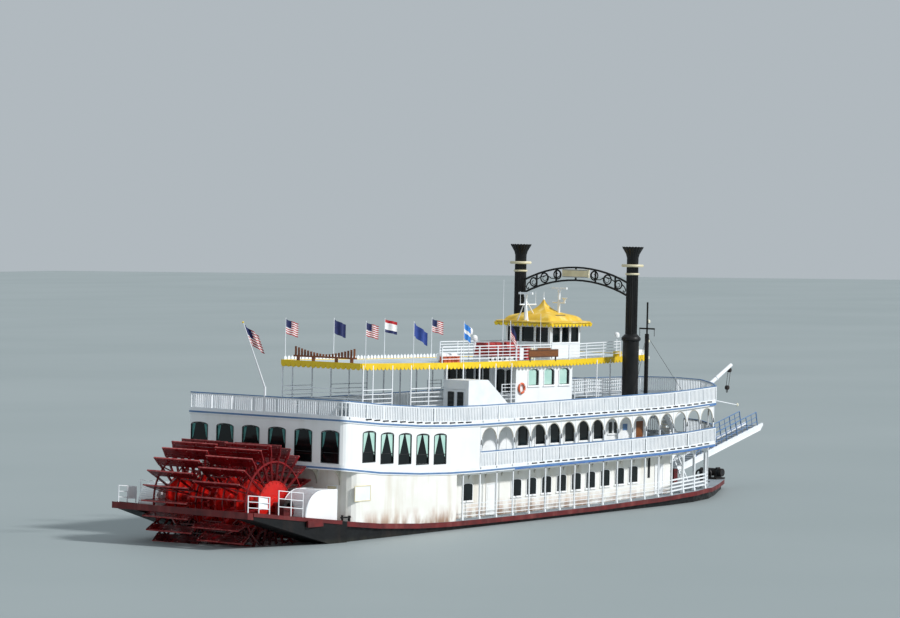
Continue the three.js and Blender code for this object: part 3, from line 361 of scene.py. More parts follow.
class Finish:
    """One procedural finish: layers of colour, roughness and bump on a Principled shader."""

    def __init__(self, name, color, roughness, metallic=0.0):
        self.material = bpy.data.materials.new(name)
        self.material.use_nodes = True
        self.tree = self.material.node_tree
        self.shader = self.tree.nodes["Principled BSDF"]
        self.color = linear(color)
        self.constant("Base Color", self.color).constant("Roughness", roughness)
        self.constant("Metallic", metallic)
        self.coordinates = self.tree.nodes.new("ShaderNodeTexCoord").outputs["Object"]
        PAINTS[name] = self.material

    def constant(self, name, value):
        self.shader.inputs[name].default_value = value
        return self

    def link(self, source, name):
        self.tree.links.new(source, self.shader.inputs[name])
        return self

    def node(self, kind, values, links, output):
        """Adds a node with values and links for its inputs, and gives one of its outputs."""
        node = self.tree.nodes.new(f"ShaderNode{kind}")
        for key, value in values.items():
            node.inputs[key].default_value = value
        for key, source in links.items():
            self.tree.links.new(source, node.inputs[key])
        return node.outputs[output]

    def noise(self, scale, detail=3.0, stretch=(1, 1, 1)):
        spot = self.node("Mapping", {"Scale": stretch}, {"Vector": self.coordinates}, "Vector")
        return self.node("TexNoise", {"Scale": scale, "Detail": detail}, {"Vector": spot}, "Fac")

    def wave(self, scale, direction, distortion):
        values = {"Scale": scale, "Distortion": distortion}
        bands = self.node("TexWave", values, {"Vector": self.coordinates}, "Fac")
        bands.node.bands_direction = direction
        return bands

    def ramp(self, value, low, high, start=0.0, end=1.0):
        """Maps a value's range to another, held at its ends."""
        ends = {"From Min": low, "From Max": high, "To Min": start, "To Max": end}
        return self.node("MapRange", ends, {"Value": value}, "Result")

    def layer(self, color, mask):
        """Lays a colour over what is there, where the mask is above zero."""
        node = self.tree.nodes.new("ShaderNodeMix")
        node.data_type = "RGBA"
        factor, below, above = node.inputs[0], node.inputs[6], node.inputs[7]
        if isinstance(self.color, tuple):
            below.default_value = self.color
        else:
            self.tree.links.new(self.color, below)
        above.default_value = linear(color)
        self.tree.links.new(mask, factor)
        self.color = node.outputs[2]
        return self.link(self.color, "Base Color")

    def rough(self, scale, low, high):
        """Lets the roughness follow a noise, from low to high."""
        return self.link(self.ramp(self.noise(scale), 0.35, 0.65, low, high), "Roughness")

    def bump(self, height, strength, distance):
        values = {"Strength": strength, "Distance": distance}
        return self.link(self.node("Bump", values, {"Height": height}, "Normal"), "Normal")

    def grain(self, scale, strength, distance=0.01, detail=3.0, stretch=(1, 1, 1)):
        return self.bump(self.noise(scale, detail, stretch), strength, distance)

    def ribs(self, scale, direction, distortion, strength, distance):
        return self.bump(self.wave(scale, direction, distortion), strength, distance)

    def mottle(self, color, amount, scale=1.4):
        return self.layer(color, self.ramp(self.noise(scale), 0.35, 0.7, 0.0, amount))

    def streaks(self, color, amount, scale=2.2, tall=0.12):
        noise = self.noise(scale, 5.0, (1, 1, tall))
        return self.layer(color, self.ramp(noise, 0.52, 0.72, 0.0, amount))

    def near(self, color, amount, low, high, patch=0.45):
        """Colour laid below a height: full at low and gone at high, broken up by noise. It lays rust and
        dirt on the low walls, painted shadow and reflection at the hull's waterline, and a darker crimson
        low on the wheel.
        """
        height = self.node("SeparateXYZ", {}, {"Vector": self.coordinates}, "Z")
        patches = self.ramp(self.noise(3.0, 6.0, (1, 1, 0.35)), patch, patch + 0.2, 0.0, amount)
        product = self.node("Math", {}, {0: self.ramp(height, low, high, 1.0, 0.0), 1: patches}, "Value")
        product.node.operation = "MULTIPLY"
        return self.layer(color, product)


def make_paints():
    # Near black: painted shade in the scupper slots, the slit and the rack's holes, and the dark frames of
    # the saloon windows.
    Finish(SLOT, "#15181a", 0.8).mottle("#2a2d2f", 0.8, 6.0)
    white = Finish(WHITE, "#f6f7f7", 0.42).mottle("#eaedee", 0.6).streaks("#cfccc2", 0.25)
    white.rough(9.0, 0.34, 0.52).grain(60.0, 0.06)
    low = Finish("low_white_paint", "#f4f3ee", 0.48).mottle("#e6e4db", 0.7).streaks("#c4b393", 0.4)
    low.near("#a3683c", 0.9, 1.3, 1.85, 0.4).near("#7d7466", 0.6, 1.2, 1.6, 0.38)
    low.rough(8.0, 0.4, 0.6).grain(50.0, 0.08)
    # White darkened to a grey beige: painted shade for deck undersides, beams, brackets and the gallery's
    # arch hoods.
    Finish(SHADE, "#cdc8bb", 0.6).mottle("#a9a59b", 0.8, 2.5).streaks("#8d8778", 0.5).grain(40.0, 0.1)
    Finish(TRIM, "#f4f6f8", 0.35).mottle("#dfe5ea", 0.6, 3.0).grain(80.0, 0.05)
    for name, color, worn in (
        (BLUE, "#4f76a6", "#6f8fb4"),
        ("bright_blue_paint", "#135bb8", "#3f7fc6"),
        ("grey_paint", "#dde1e5", "#cdd2d7"),
        (DARK_GREY, "#4b5258", "#3a3f44"),
        (CREAM, "#e9e0bf", "#cfc4a0"),
    ):
        Finish(name, color, 0.45).mottle(worn, 0.8, 2.6).streaks("#8a8a84", 0.2).grain(60.0, 0.06)
    deck = Finish(DECK_GREY, "#8f9aa3", 0.75).mottle("#7a848c", 0.9, 1.2).mottle("#b0b4b2", 0.3, 6.0)
    deck.ribs(9.0, "Y", 0.4, 0.15, 0.004)

    hull = Finish(HULL_BLACK, "#08090b", 0.5).mottle("#121417", 0.9, 1.8).streaks("#33241d", 0.5)
    # The olive band at the waterline is painted shadow and painted reflection of the water.
    hull.near("#3b3a30", 0.7, 0.9, 1.1, 0.4).constant("Specular IOR Level", 0.3)
    hull.rough(6.0, 0.35, 0.65).grain(14.0, 0.12)
    Finish(GUARD_RED, "#6b1416", 0.6).mottle("#480c0e", 0.9, 3.0).streaks("#94504a", 0.45).grain(30.0, 0.2)

    crimson = Finish(CRIMSON, "#84060f", 0.3).mottle("#4f0308", 0.9, 1.8).streaks("#a3262a", 0.25, 5.0)
    crimson.near("#230507", 0.9, 0.9, 1.8, 0.3).rough(5.0, 0.2, 0.45).grain(26.0, 0.15)
    Finish("worn_crimson_paint", "#a8242a", 0.5).mottle("#7d0f14", 0.8, 4.0).mottle("#d98a84", 0.45, 9.0)
    hub = Finish(HUB_RED, "#d3140c", 0.38).mottle("#a30d08", 0.8, 2.4).streaks("#e8452c", 0.35)
    hub.grain(30.0, 0.1)
    Finish("bolt_pink_paint", "#c98a84", 0.5).mottle("#9c4a45", 0.8, 8.0)

    Finish(YELLOW, "#f3cf1e", 0.5).mottle("#e6bd14", 0.7, 1.6).streaks("#b9901c", 0.3).grain(40.0, 0.06)
    # The roof's pale streaks are painted highlights on its courses.
    roof = Finish("roof_yellow_paint", "#e9c13c", 0.5).mottle("#dbac28", 0.8, 2.2)
    roof.streaks("#f7e39a", 0.6, 4.0, 0.3).grain(22.0, 0.12)
    canopy = Finish("canopy_roof_paint", "#c9d3d6", 0.6).mottle("#aebac0", 0.8, 1.0)
    canopy.ribs(7.0, "X", 0.3, 0.3, 0.006)
    stack = Finish(STACK_BLACK, "#060607", 0.42).mottle("#111213", 0.8, 3.0).streaks("#242322", 0.6, 3.0)
    stack.constant("Specular IOR Level", 0.35).rough(8.0, 0.3, 0.5).grain(40.0, 0.1)

    Finish(GLASS, "#060b0c", 0.12).mottle("#131f21", 0.8, 0.9).constant("Specular IOR Level", 0.35)
    Finish("pale_blind", "#bfe0d4", 0.35).mottle("#a5cfc4", 0.8, 2.0)
    curtain = Finish("teal_curtain", "#3f7f7c", 0.85).mottle("#6fa8a2", 0.8, 6.0)
    curtain.ribs(60.0, "X", 1.0, 0.4, 0.004)
    wood = Finish("brown_wood", "#7d4a20", 0.5).streaks("#4f2a10", 0.8, 6.0, 8.0)
    wood.grain(30.0, 0.3, 0.004, 4.0, (0.3, 1, 3))
    Finish("dark_wood", "#3b2a22", 0.6).mottle("#5b4436", 0.8, 6.0).grain(40.0, 0.2)
    Finish("pipe_copper", "#a5674a", 0.38, 0.85).mottle("#6d4a3a", 0.8, 6.0).rough(12.0, 0.25, 0.55)
    Finish(STEEL, "#2b2e31", 0.5, 0.5).mottle("#4b3a30", 0.6, 5.0).grain(50.0, 0.15)
    Finish(FLOAT_RED, "#b0302c", 0.6).mottle("#7e1f1e", 0.8, 5.0).grain(60.0, 0.2)
    Finish("float_orange", "#e2714a", 0.6).mottle("#c4522f", 0.7, 6.0).grain(60.0, 0.2)
    Finish(PLASTIC, "#f6f7f7", 0.25).mottle("#e6e9ea", 0.6, 5.0)
    Finish(LAMP, "#f4f1dc", 0.2).mottle("#d8d5bb", 0.6, 9.0)
    # Each cloth is mottled with a second tone, darker on some and lighter on others: painted shade and
    # highlight of folds.
    for name, color, fold_shading in (
        ("cloth_red", "#b8141e", "#8c1018"),
        ("cloth_white", "#f2f0ec", "#cfcfd2"),
        ("cloth_navy", "#141d4a", "#1f2c62"),
        ("cloth_blue", "#2f4a96", "#24397a"),
        ("cloth_sky", "#1f6fc4", "#4a94d8"),
    ):
        cloth = Finish(name, color, 0.9).constant("Sheen Weight", 0.1).mottle(fold_shading, 0.8, 7.0)
        cloth.grain(220.0, 0.2, 0.002, 2.0)


make_paints()


# Pieces.

SMOOTH_ANGLE = math.radians(34)


def new_object(name, data):
    obj = bpy.data.objects.new(name, data)
    bpy.context.scene.collection.objects.link(obj)
    return obj


def piece(name, shape, body="boat", replaces=()):
    """Makes the shape an object that rides on a body and stands for the nodes that it replaces."""
    used = sorted(set(shape.paints))
    mesh = bpy.data.meshes.new(name)
    mesh.from_pydata([place(point) for point in shape.points], [], shape.faces)
    for paint in used:
        mesh.materials.append(PAINTS[paint])
    mesh.polygons.foreach_set("material_index", [used.index(paint) for paint in shape.paints])
    solid = bmesh.new()
    solid.from_mesh(mesh)
    bmesh.ops.recalc_face_normals(solid, faces=solid.faces)
    solid.to_mesh(mesh)
    solid.free()
    mesh.shade_smooth()
    mesh.set_sharp_from_angle(angle=SMOOTH_ANGLE)
    obj = new_object(name, mesh)
    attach(obj, body)
    if replaces:
        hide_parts(*replaces)
    return obj


def pair(name, port, node=None):
    """A piece for each side from its port shape; node names the pair of nodes that it replaces."""
    for side, shape in (("port", port), ("starboard", port.mirrored())):
        nodes = [f"{node}_{side}"] if node else []
        piece(f"{name}_{side}", shape, replaces=nodes)


def paint_node(node, side, top=None, under=None):
    """Paints a CAD node, with other paints on its faces that look up and down."""
    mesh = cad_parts[node].data
    paints = [side, top or side, under or side]
    mesh.materials.clear()
    for paint in paints:
        mesh.materials.append(PAINTS[paint])
    for polygon in mesh.polygons:
        lift = polygon.normal.z
        polygon.material_index = 1 if lift > 0.9 else 2 if lift < -0.9 else 0


# Walls and what stands on them.

STARBOARD = (0, -1, 0)
PORT = (0, 1, 0)
AFT = (-1, 0, 0)
FORE = (1, 0, 0)


class Wall:
    """A plane whose u runs along it, v is height and w is out of it."""

    def __init__(self, origin, along, out):
        self.origin = Vector(origin)
        self.along = Vector(along).normalized()
        self.out = Vector(out).normalized()

    def at(self, u, v, w=0.0):
        return self.origin + self.along * u + self.out * w + Vector((0, 0, v))

    def block(self, shape, u, v, w, paint):
        """A box from ranges along, up and out."""
        shape.hexa([self.at(a, height, b) for height in v for a, b in rectangle(u, w)], paint)

    def plate(self, shape, outline, w, paint):
        """A solid plate from an outline of (u, v) and its range out of the wall."""
        shape.loft([[self.at(u, v, out) for u, v in outline] for out in w], paint)

    def band(self, shape, inner, outer, w, paint):
        """A frame between two outlines with as many points, standing out over the range w."""
        edges = ((inner, w[0]), (inner, w[1]), (outer, w[1]), (outer, w[0]))
        shape.loft([[self.at(u, v, out) for u, v in line] for line, out in edges], paint, loop=True)


def side_wall(y, out=PORT):
    return Wall((0, y, 0), (1, 0, 0), out)


def cross_wall(x, out=AFT):
    return Wall((x, 0, 0), (0, 1, 0), out)


def arched(centre, sill, width, height, rise, grow=0.0):
    """The outline of a window with a low arched head, grown outwards by some width."""
    half = width / 2 + grow
    head = arc((centre, sill + height - rise), (half, rise + grow), 0, 2, 8)
    return [(u, sill - grow) for u in about(centre, half)] + head


def window(shape, wall, opening, edge=0.07, frame_paint=WHITE, recess=0.05, panes=1):
    """A framed pane with a sill board, set into its opening, or proud of a closed wall."""
    centre, sill, width, height, rise = opening
    wall.band(shape, arched(*opening), arched(*opening, edge), (min(-recess, 0.001), 0.045), frame_paint)
    wall.plate(shape, arched(*opening, 0.01), (-recess - 0.02, -recess), GLASS)
    board = (sill - edge - 0.05, sill - edge + 0.01)
    wall.block(shape, about(centre, width / 2 + edge + 0.04), board, (0.002, 0.07), frame_paint)
    for part in range(1, panes):
        bar = about(centre + width * (part / panes - 0.5), 0.03)
        wall.block(shape, bar, (sill + 0.005, sill + height - rise), (-recess + 0.002, 0.03), frame_paint)


PROUD = -0.025


def doorway(shape, wall, centre, foot, width, height, leaf):
    """A closed door on a wall: a frame round a leaf with two panels."""
    outline = rectangle(about(centre, width / 2), (foot, foot + height))
    outer = [(u + math.copysign(0.07, u - centre), v + (0.07 if v > foot else 0)) for u, v in outline]
    wall.band(shape, outline, outer, (0.001, 0.05), WHITE)
    wall.plate(shape, outline, (0.002, 0.02), leaf)
    for low, high in ((0.08, 0.42), (0.5, 0.92)):
        panel = (foot + height * low, foot + height * high)
        wall.block(shape, about(centre, width / 2 - 0.1), panel, (0.019, 0.032), leaf)


def open_rail(shape, feet, height, bars, thick=0.05):
    """Posts standing on a row of points, joined by bars at shares of their height."""
    for x, y, z in feet:
        shape.box(about(x, thick / 2), about(y, thick / 2), (z, z + height), TRIM)
    for share in bars:
        lift = Vector((0, 0, height * share))
        for start, end in zip(feet, feet[1:]):
            shape.beam(Vector(start) + lift, Vector(end) + lift, thick * 0.8, thick * 0.8, TRIM)


# Camera, light and floor.

CAMERA = {
    "place": (-163.955, -138.575, 18.842),
    "yaw": 37.284,
    "pitch": -1.337,
    "roll": 1.211,
    "lens": 144.0,
    "sensor": 36.0,
}


def make_camera():
    yaw, pitch, roll = (math.radians(CAMERA[key]) for key in ("yaw", "pitch", "roll"))
    level = math.cos(pitch)
    ahead = Vector((math.cos(yaw) * level, math.sin(yaw) * level, math.sin(pitch)))
    flat = Vector((math.sin(yaw), -math.cos(yaw), 0))
    upright = flat.cross(ahead)
    right = flat * math.cos(roll) + upright * math.sin(roll)
    up = upright * math.cos(roll) - flat * math.sin(roll)
    data = bpy.data.cameras.new("camera")
    data.lens = CAMERA["lens"]
    data.sensor_width = CAMERA["sensor"]
    data.clip_end = 1000
    camera = new_object("camera", data)
    turn = Matrix((right, up, -ahead)).transposed().to_4x4()
    camera.matrix_world = Matrix.Translation(place(CAMERA["place"])) @ turn
    bpy.context.scene.camera = camera


WATER_RISE = (0.0145, -0.0168)
SUN = {"from": (0.25, -0.85, 0.7), "strength": 3.1, "angle": 6}
SKY = {"color": "#dbe5ec", "strength": 0.62}
FLOOR_HALF = 400.0


def make_stage():
    light = bpy.data.lights.new("sun", "SUN")
    light.energy = SUN["strength"]
    light.angle = math.radians(SUN["angle"])
    sun = new_object("sun", light)
    sun.rotation_mode = "QUATERNION"
    sun.rotation_quaternion = Vector(SUN["from"]).to_track_quat("Z", "Y")

    world = bpy.data.worlds.new("studio")
    world.use_nodes = True
    background = world.node_tree.nodes["Background"]
    background.inputs["Color"].default_value = linear(SKY["color"])
    background.inputs["Strength"].default_value = SKY["strength"]
    bpy.context.scene.world = world
    bpy.context.scene.view_settings.view_transform = "Standard"

    floor = Finish("floor_paint", "#99a3a4", 0.6).mottle("#8f9a9b", 0.6, 0.05)
    mesh = bpy.data.meshes.new("floor")
    # The boat lies a little down by the bow: the water rises along it and to starboard.
    mark = place((5.0, -HALF_BEAM, 0.15))
    reach = about(0, FLOOR_HALF)
    water = [(x, y, mark[2] + WATER_RISE[0] * (x - mark[0]) + WATER_RISE[1] * (y - mark[1]))
             for x, y in rectangle(reach, reach)]
    mesh.from_pydata(water, [], [(0, 1, 2, 3)])
    mesh.materials.append(floor.material)
    new_object("floor", mesh)


make_camera()
make_stage()


# Hull and main deck keep their solids.

for node in ("hull", "stern_girder_starboard", "stern_girder_port", "rudder_starboard", "rudder_port"):
    paint_node(node, HULL_BLACK, top=GUARD_RED)
for node in ("main_deck", "aft_cross_beam"):
    paint_node(node, GUARD_RED, top=DECK_GREY)
paint_node("paddle_wheel_shaft", CRIMSON)
paint_node("generator_block", STEEL)
for side in ("starboard", "port", "aft", "fore"):
    paint_node(f"main_house_wall_{side}", "low_white_paint")
    paint_node(f"saloon_wall_{side}", WHITE)
    paint_node(f"texas_wall_{side}", WHITE)
    paint_node(f"pilot_house_wall_{side}", WHITE)
paint_node("texas_trunk", WHITE, top=DECK_GREY)
paint_node("fore_stair", TRIM, top=YELLOW)
paint_node("boat_deck", WHITE, top="canopy_roof_paint")


# Paddle wheel.

WHEEL_X = -3.2
WHEEL_Z = 2.29
WHEEL_RADIUS = 3.52
WHEEL_HALF = 3.66
BUCKETS = 24
FLANGES = (0.25, 1.82, 3.54)
HUB_RADIUS = 1.42
ARM_END = 3.3
PLANKS = ((2.86, 3.07), (3.09, 3.28), (3.3, 3.47))
WHEEL_RING = (2.49, 2.58)
SHAFT_BORE = 0.21
# Distances out along an arm: its bolts, the braces between its planes and the stop on the hub.
BOLT_ROWS = (2.97, 3.38)
SLANT_BRACE = (1.5, 2.8)
LEVEL_BRACE = (2.6, 2.6)
HUB_STOP = (1.24, 1.28)


def wheel_point(angle, along, aside, y):
    """A point by its distance out along an arm's angle and aside from it."""
    x = WHEEL_X + along * math.cos(angle) - aside * math.sin(angle)
    z = WHEEL_Z + along * math.sin(angle) + aside * math.cos(angle)
    return (x, y, z)


def wheel_block(shape, angle, along, aside, y, paint):
    shape.hexa([wheel_point(angle, a, b, c) for c in y for a, b in rectangle(along, aside)], paint)


@shaped
def wheel_half(shape, phase):
    step = math.tau / BUCKETS
    angles = [(index + phase) * step for index in range(BUCKETS)]
    across = (0.1, WHEEL_HALF)
    for index, angle in enumerate(angles):
        for plank in PLANKS:
            wheel_block(shape, angle, plank, about(0, 0.035), across, CRIMSON)
        edge = (PLANKS[-1][1], WHEEL_RADIUS)
        wheel_block(shape, angle, edge, about(0, 0.04), across, "worn_crimson_paint")
        for y in FLANGES:
            for aside in (-0.055, 0.02):
                arm = (HUB_RADIUS - 0.1, ARM_END)
                wheel_block(shape, angle, arm, (aside, aside + 0.035), about(y, 0.05), CRIMSON)
            for along in BOLT_ROWS:
                for aside in (-0.06, 0.035):
                    wheel_block(shape, angle, about(along, 0.025), (aside, aside + 0.025),
                                (y - 0.11, y - 0.06), "bolt_pink_paint")
        inner, middle, outer = FLANGES
        ends = (middle, outer) if index % 2 else (outer, middle)
        for reach, (start, end), thick in ((SLANT_BRACE, ends, 0.07), (LEVEL_BRACE, (inner, middle), 0.06)):
            shape.beam(wheel_point(angle, reach[0], 0, start), wheel_point(angle, reach[1], 0, end),
                       thick, thick, CRIMSON)
    for y in FLANGES:
        section = rectangle(WHEEL_RING, about(y, 0.04))
        rings = [[wheel_point(turn * step / 3, radius, 0, end) for radius, end in section]
                 for turn in range(BUCKETS * 3)]
        shape.loft(rings, CRIMSON, loop=True)
        hub = [(SHAFT_BORE, 0.05), (HUB_RADIUS - 0.05, 0.05), (HUB_RADIUS - 0.04, 0.08), (HUB_RADIUS, 0.08)]
        boss = [(SHAFT_BORE, 0.11), (0.42, 0.11), (0.46, 0.06)]
        for profile, sides in ((hub, 48), (boss, 32)):
            shape.lathe(symmetric(profile), (WHEEL_X, y, WHEEL_Z), HUB_RED, sides, "y")
        for angle in angles:
            wheel_block(shape, angle, HUB_STOP, about(0, 0.02), about(y, 0.075), CRIMSON)


piece("wheel_port", wheel_half(0), "paddle_wheel", ["paddle_wheel_port"])
piece("wheel_starboard", wheel_half(0.5).mirrored(), "paddle_wheel", ["paddle_wheel_starboard"])


# Drive casings with their slatted aft faces and the shaft's bearings.

CASING = {"aft": -2.8, "fore": 0.05, "top": 3.18, "inner": 3.8, "outer": 5.7, "round": 1.5}
CASING_SLATS = 26
BEARING = {"inner": 4.1, "outer": 4.75, "radius": 0.42, "bolts": (4.25, 4.6)}


def cover_line(sizes, grow=0.0, steps=14):
    """The round aft edge of a cover, from its top down to where it is upright."""
    radius = sizes["round"]
    centre = (sizes["aft"] + radius, sizes["top"] - radius)
    return arc(centre, (radius + grow, radius + grow), 1, 2, steps)


def cover(shape, sizes):
    """A round-topped box closed down to the main deck."""
    feet = [(x, MAIN(x)) for x in (sizes["aft"], sizes["fore"])]
    outline = [(sizes["fore"], sizes["top"])] + cover_line(sizes) + feet
    shape.prism("y", outline, sizes["inner"], sizes["outer"], WHITE)


@shaped
def drive_casing(shape):
    cover(shape, CASING)
    inner, outer = CASING["inner"], CASING["outer"]
    slats = cover_line(CASING, 0.01, CASING_SLATS)
    for (x0, z0), (x1, z1) in zip(slats, slats[1:]):
        ends = [((x0 + x1) / 2, y, (z0 + z1) / 2) for y in (inner + 0.06, outer - 0.06)]
        shape.beam(*ends, 0.05, 0.035, TRIM)
    rim = [(CASING["fore"], CASING["top"])] + cover_line(CASING)
    for y in (inner, outer - 0.05):
        shape.tube([(x, y, z) for x, z in rim], 0.035, TRIM)
    shape.box((WHEEL_X - 0.5, CASING["aft"]), (BEARING["inner"], BEARING["outer"]),
              (MAIN(WHEEL_X) + 0.01, WHEEL_Z), GUARD_RED)
    cap = arc((WHEEL_X, WHEEL_Z), (BEARING["radius"],) * 2, 0, 2, 12)
    shape.prism("y", cap, BEARING["inner"] + 0.05, BEARING["outer"] - 0.05, STEEL)
    for x in (WHEEL_X - 0.42, WHEEL_X + 0.36):
        for y in BEARING["bolts"]:
            shape.upright(x, y, (WHEEL_Z, WHEEL_Z + 0.14), 0.04, STEEL, 6)


pair("casing", drive_casing(), "drive_casing")


# Upper decks: a slab with a white edge board, a coloured cap along it and beams underneath; the underside
# and the beams carry painted shade.

UPPER_PORT = stern_corner(-0.06, DECK_HALF, STERN_CORNER) + UPPER_FRONT
HATCH = {"aft": 35.6, "fore": 38.4, "inner": -3.0, "outer": -4.0}
SLAB_INSET = 0.03
SCUPPER = {"length": 0.58, "spacing": 0.82, "height": 0.085}


def plan_half(plan, x):
    """The half-beam of a plan's port side at x."""
    for (x0, y0), (x1, y1) in zip(plan, plan[1:]):
        if x0 <= x <= x1 and x1 > x0:
            return mix(y0, y1, (x - x0) / (x1 - x0))
    return plan[-1][1]


def deck_slab(shape, level, hatch=None):
    aft = stern_corner(SLAB_INSET - 0.06, DECK_HALF - SLAB_INSET, STERN_CORNER)
    plan = aft + [(x, y - SLAB_INSET) for x, y in UPPER_FRONT[:-1]]
    plan.append((UPPER_FRONT[-1][0] - SLAB_INSET, UPPER_FRONT[-1][1] - SLAB_INSET))
    stations = {x for x, _ in plan} | {x for x in level.knots if plan[0][0] < x < plan[-1][0]}
    if hatch:
        stations |= {hatch["aft"], hatch["fore"]}
    stations = sorted(stations)
    for x0, x1 in zip(stations, stations[1:]):
        halves = [plan_half(plan, x) for x in (x0, x1)]
        edges = [[-half for half in halves], halves]
        if hatch and hatch["aft"] <= x0 < hatch["fore"]:
            edges[1:1] = [[hatch["outer"]] * 2, [hatch["inner"]] * 2]
        for right, left in zip(edges[::2], edges[1::2]):
            corners = ((x0, right[0]), (x1, right[1]), (x1, left[1]), (x0, left[0]))
            points = [(x, y, level(x) - drop) for drop in (DECK, 0) for x, y in corners]
            # The slab's underside takes the shaded white: painted shade.
            shape.hexa(points, WHITE, SHADE, DECK_GREY)


def deck_edge(shape, level, bright_from, slots):
    """A white edge board with a coloured stripe, and the kick board with its scuppers above."""
    path = both_sides(UPPER_PORT)
    line = on_deck(path + [path[0]], level)[:-1]
    for out, up, paint in (
        ((-0.06, -0.012), (-DECK - 0.03, -0.02), WHITE),
        ((-0.06, -0.02), (-0.02, 0.13), TRIM),
        ((-0.05, 0.0), (-0.15, -0.045), BLUE),
    ):
        shape.sweep(line, rectangle(out, up), paint, True)
    for side in (1, -1):
        front = [(x, y * side) for x, y in [(bright_from, DECK_HALF)] + UPPER_FRONT]
        out = (-0.03, -0.001) if side > 0 else (0.001, 0.03)
        shape.sweep(on_deck(front, level), rectangle(out, (-0.2, -0.05)), "bright_blue_paint")
        # Each scupper is a dark box proud of the kick board: painted shade in the slot.
        for x in slots:
            low = level(x) + 0.035
            y = side * (DECK_HALF - 0.021)
            shape.box((x, x + SCUPPER["length"]), sorted((y, y + side * 0.004)),
                      (low, low + SCUPPER["height"]), SLOT)


def deck_beams(shape, level, first, last, inner, outer):
    for index in range(round((last - first) / BAY) + 1):
        x = first + index * BAY
        half = min(outer, plan_half(UPPER_PORT, x) - 0.15)
        top = level(x) - DECK
        for side in (-1, 1):
            ends = sorted((side * inner, side * half))
            # The beams take the shaded white: painted shade.
            shape.box(about(x, 0.04), ends, (top - 0.12, top + 0.02), SHADE)


def scuppers(first, last):
    count = round((last - first) / SCUPPER["spacing"])
    return [first + index * SCUPPER["spacing"] for index in range(count)]


@shaped
def upper_deck(shape, level, hatch, bright_from, slots, inner):
    deck_slab(shape, level, hatch)
    deck_edge(shape, level, bright_from, slots)
    deck_beams(shape, level, GALLERY_AFT, 41.0, inner, 6.0)


promenade = upper_deck(PROMENADE, None, 17.0, scuppers(18.8, 39.4), 5.12)
# The boom's seat at the front.
promenade.box((42.95, 43.45), (-0.35, 0.35), (PROMENADE(43.2), 5.15), WHITE)
for side in (-0.3, 0.2):
    promenade.prism("y", [(43.02, 5.1), (43.38, 5.1), (43.38, 5.6), (43.2, 5.72), (43.02, 5.6)],
                    side, side + 0.1, WHITE)
piece("promenade_deck_dressed", promenade, replaces=["promenade_deck"])
hurricane = upper_deck(HURRICANE, HATCH, 39.0, scuppers(2.0, 12.6) + scuppers(17.4, 39.4), 4.97)
piece("hurricane_deck_dressed", hurricane, replaces=["hurricane_deck"])


# Rails.

BALUSTERS = 0.16
RAIL_FRONT = [(DECK_FORE, HALF_BEAM), (41.66, 4.57), (43.54, 2.42)]


def railing(shape, path, level, height=RAIL_HEIGHT, post=BAY, balusters=0.0, bars=(), cap=BLUE,
            post_width=0.08):
    """Posts under a cap along a plan path, with balusters at a spacing or bars at some heights."""
    line = on_deck(path, level)
    rows = [(0.05, (height - 0.055, height), cap)] + [(0.02, about(bar, 0.022), TRIM) for bar in bars]
    posts = spaced(path, post)
    for half, up, paint in rows:
        shape.sweep(line, rectangle(about(0, half), up), paint)
    for x, y in posts:
        foot = level(x) + 0.01
        shape.box(about(x, post_width / 2), about(y, post_width / 2), (foot, foot + height - 0.03), TRIM)
    if balusters:
        for up in ((0.1, 0.17), (height - 0.14, height - 0.07)):
            shape.sweep(line, rectangle(about(0, 0.03), up), TRIM)
        for x, y in clear_of(spaced(path, balusters), posts, 0.07):
            foot = level(x) + 0.12
            shape.box(about(x, 0.05), about(y, 0.02), (foot, foot + height - 0.2), TRIM)


@shaped
def side_rails(shape, level, start, end_half):
    path = [(start, HALF_BEAM)] + RAIL_FRONT + [(44.1, end_half)]
    railing(shape, path, level, balusters=BALUSTERS)


pair("promenade_rails", side_rails(PROMENADE, GALLERY_AFT + 0.06, 0.75), "promenade_rail")
pair("hurricane_rails", side_rails(HURRICANE, STERN_CORNER + 0.05, 0.05), "hurricane_rail")


STAFF_FOOT = (0.02, 0, 8.9)
STAFF_TIP = (-2.11, 0, 12.85)


@shaped
def stern_rail(shape):
    corner = list(reversed(stern_corner(0.02, HALF_BEAM, STERN_CORNER, 3)))
    path = corner + [(x, -y) for x, y in reversed(corner)]
    railing(shape, path, HURRICANE, balusters=BALUSTERS, post_width=0.05)
    shape.upright(*STAFF_FOOT[:2], (7.36, 8.95), 0.07, TRIM, 12)
    shape.rod(STAFF_FOOT, STAFF_TIP, 0.055, TRIM, 12, 0.03)
    shape.lathe([(0.0, -0.05), (0.06, -0.03), (0.07, 0.02), (0.0, 0.07)], (-2.11, 0, 12.83),
                YELLOW, 12)


piece("stern_rails", stern_rail(), replaces=["hurricane_rail_stern"])


# Arcades of the gallery and colonnades of the main deck.


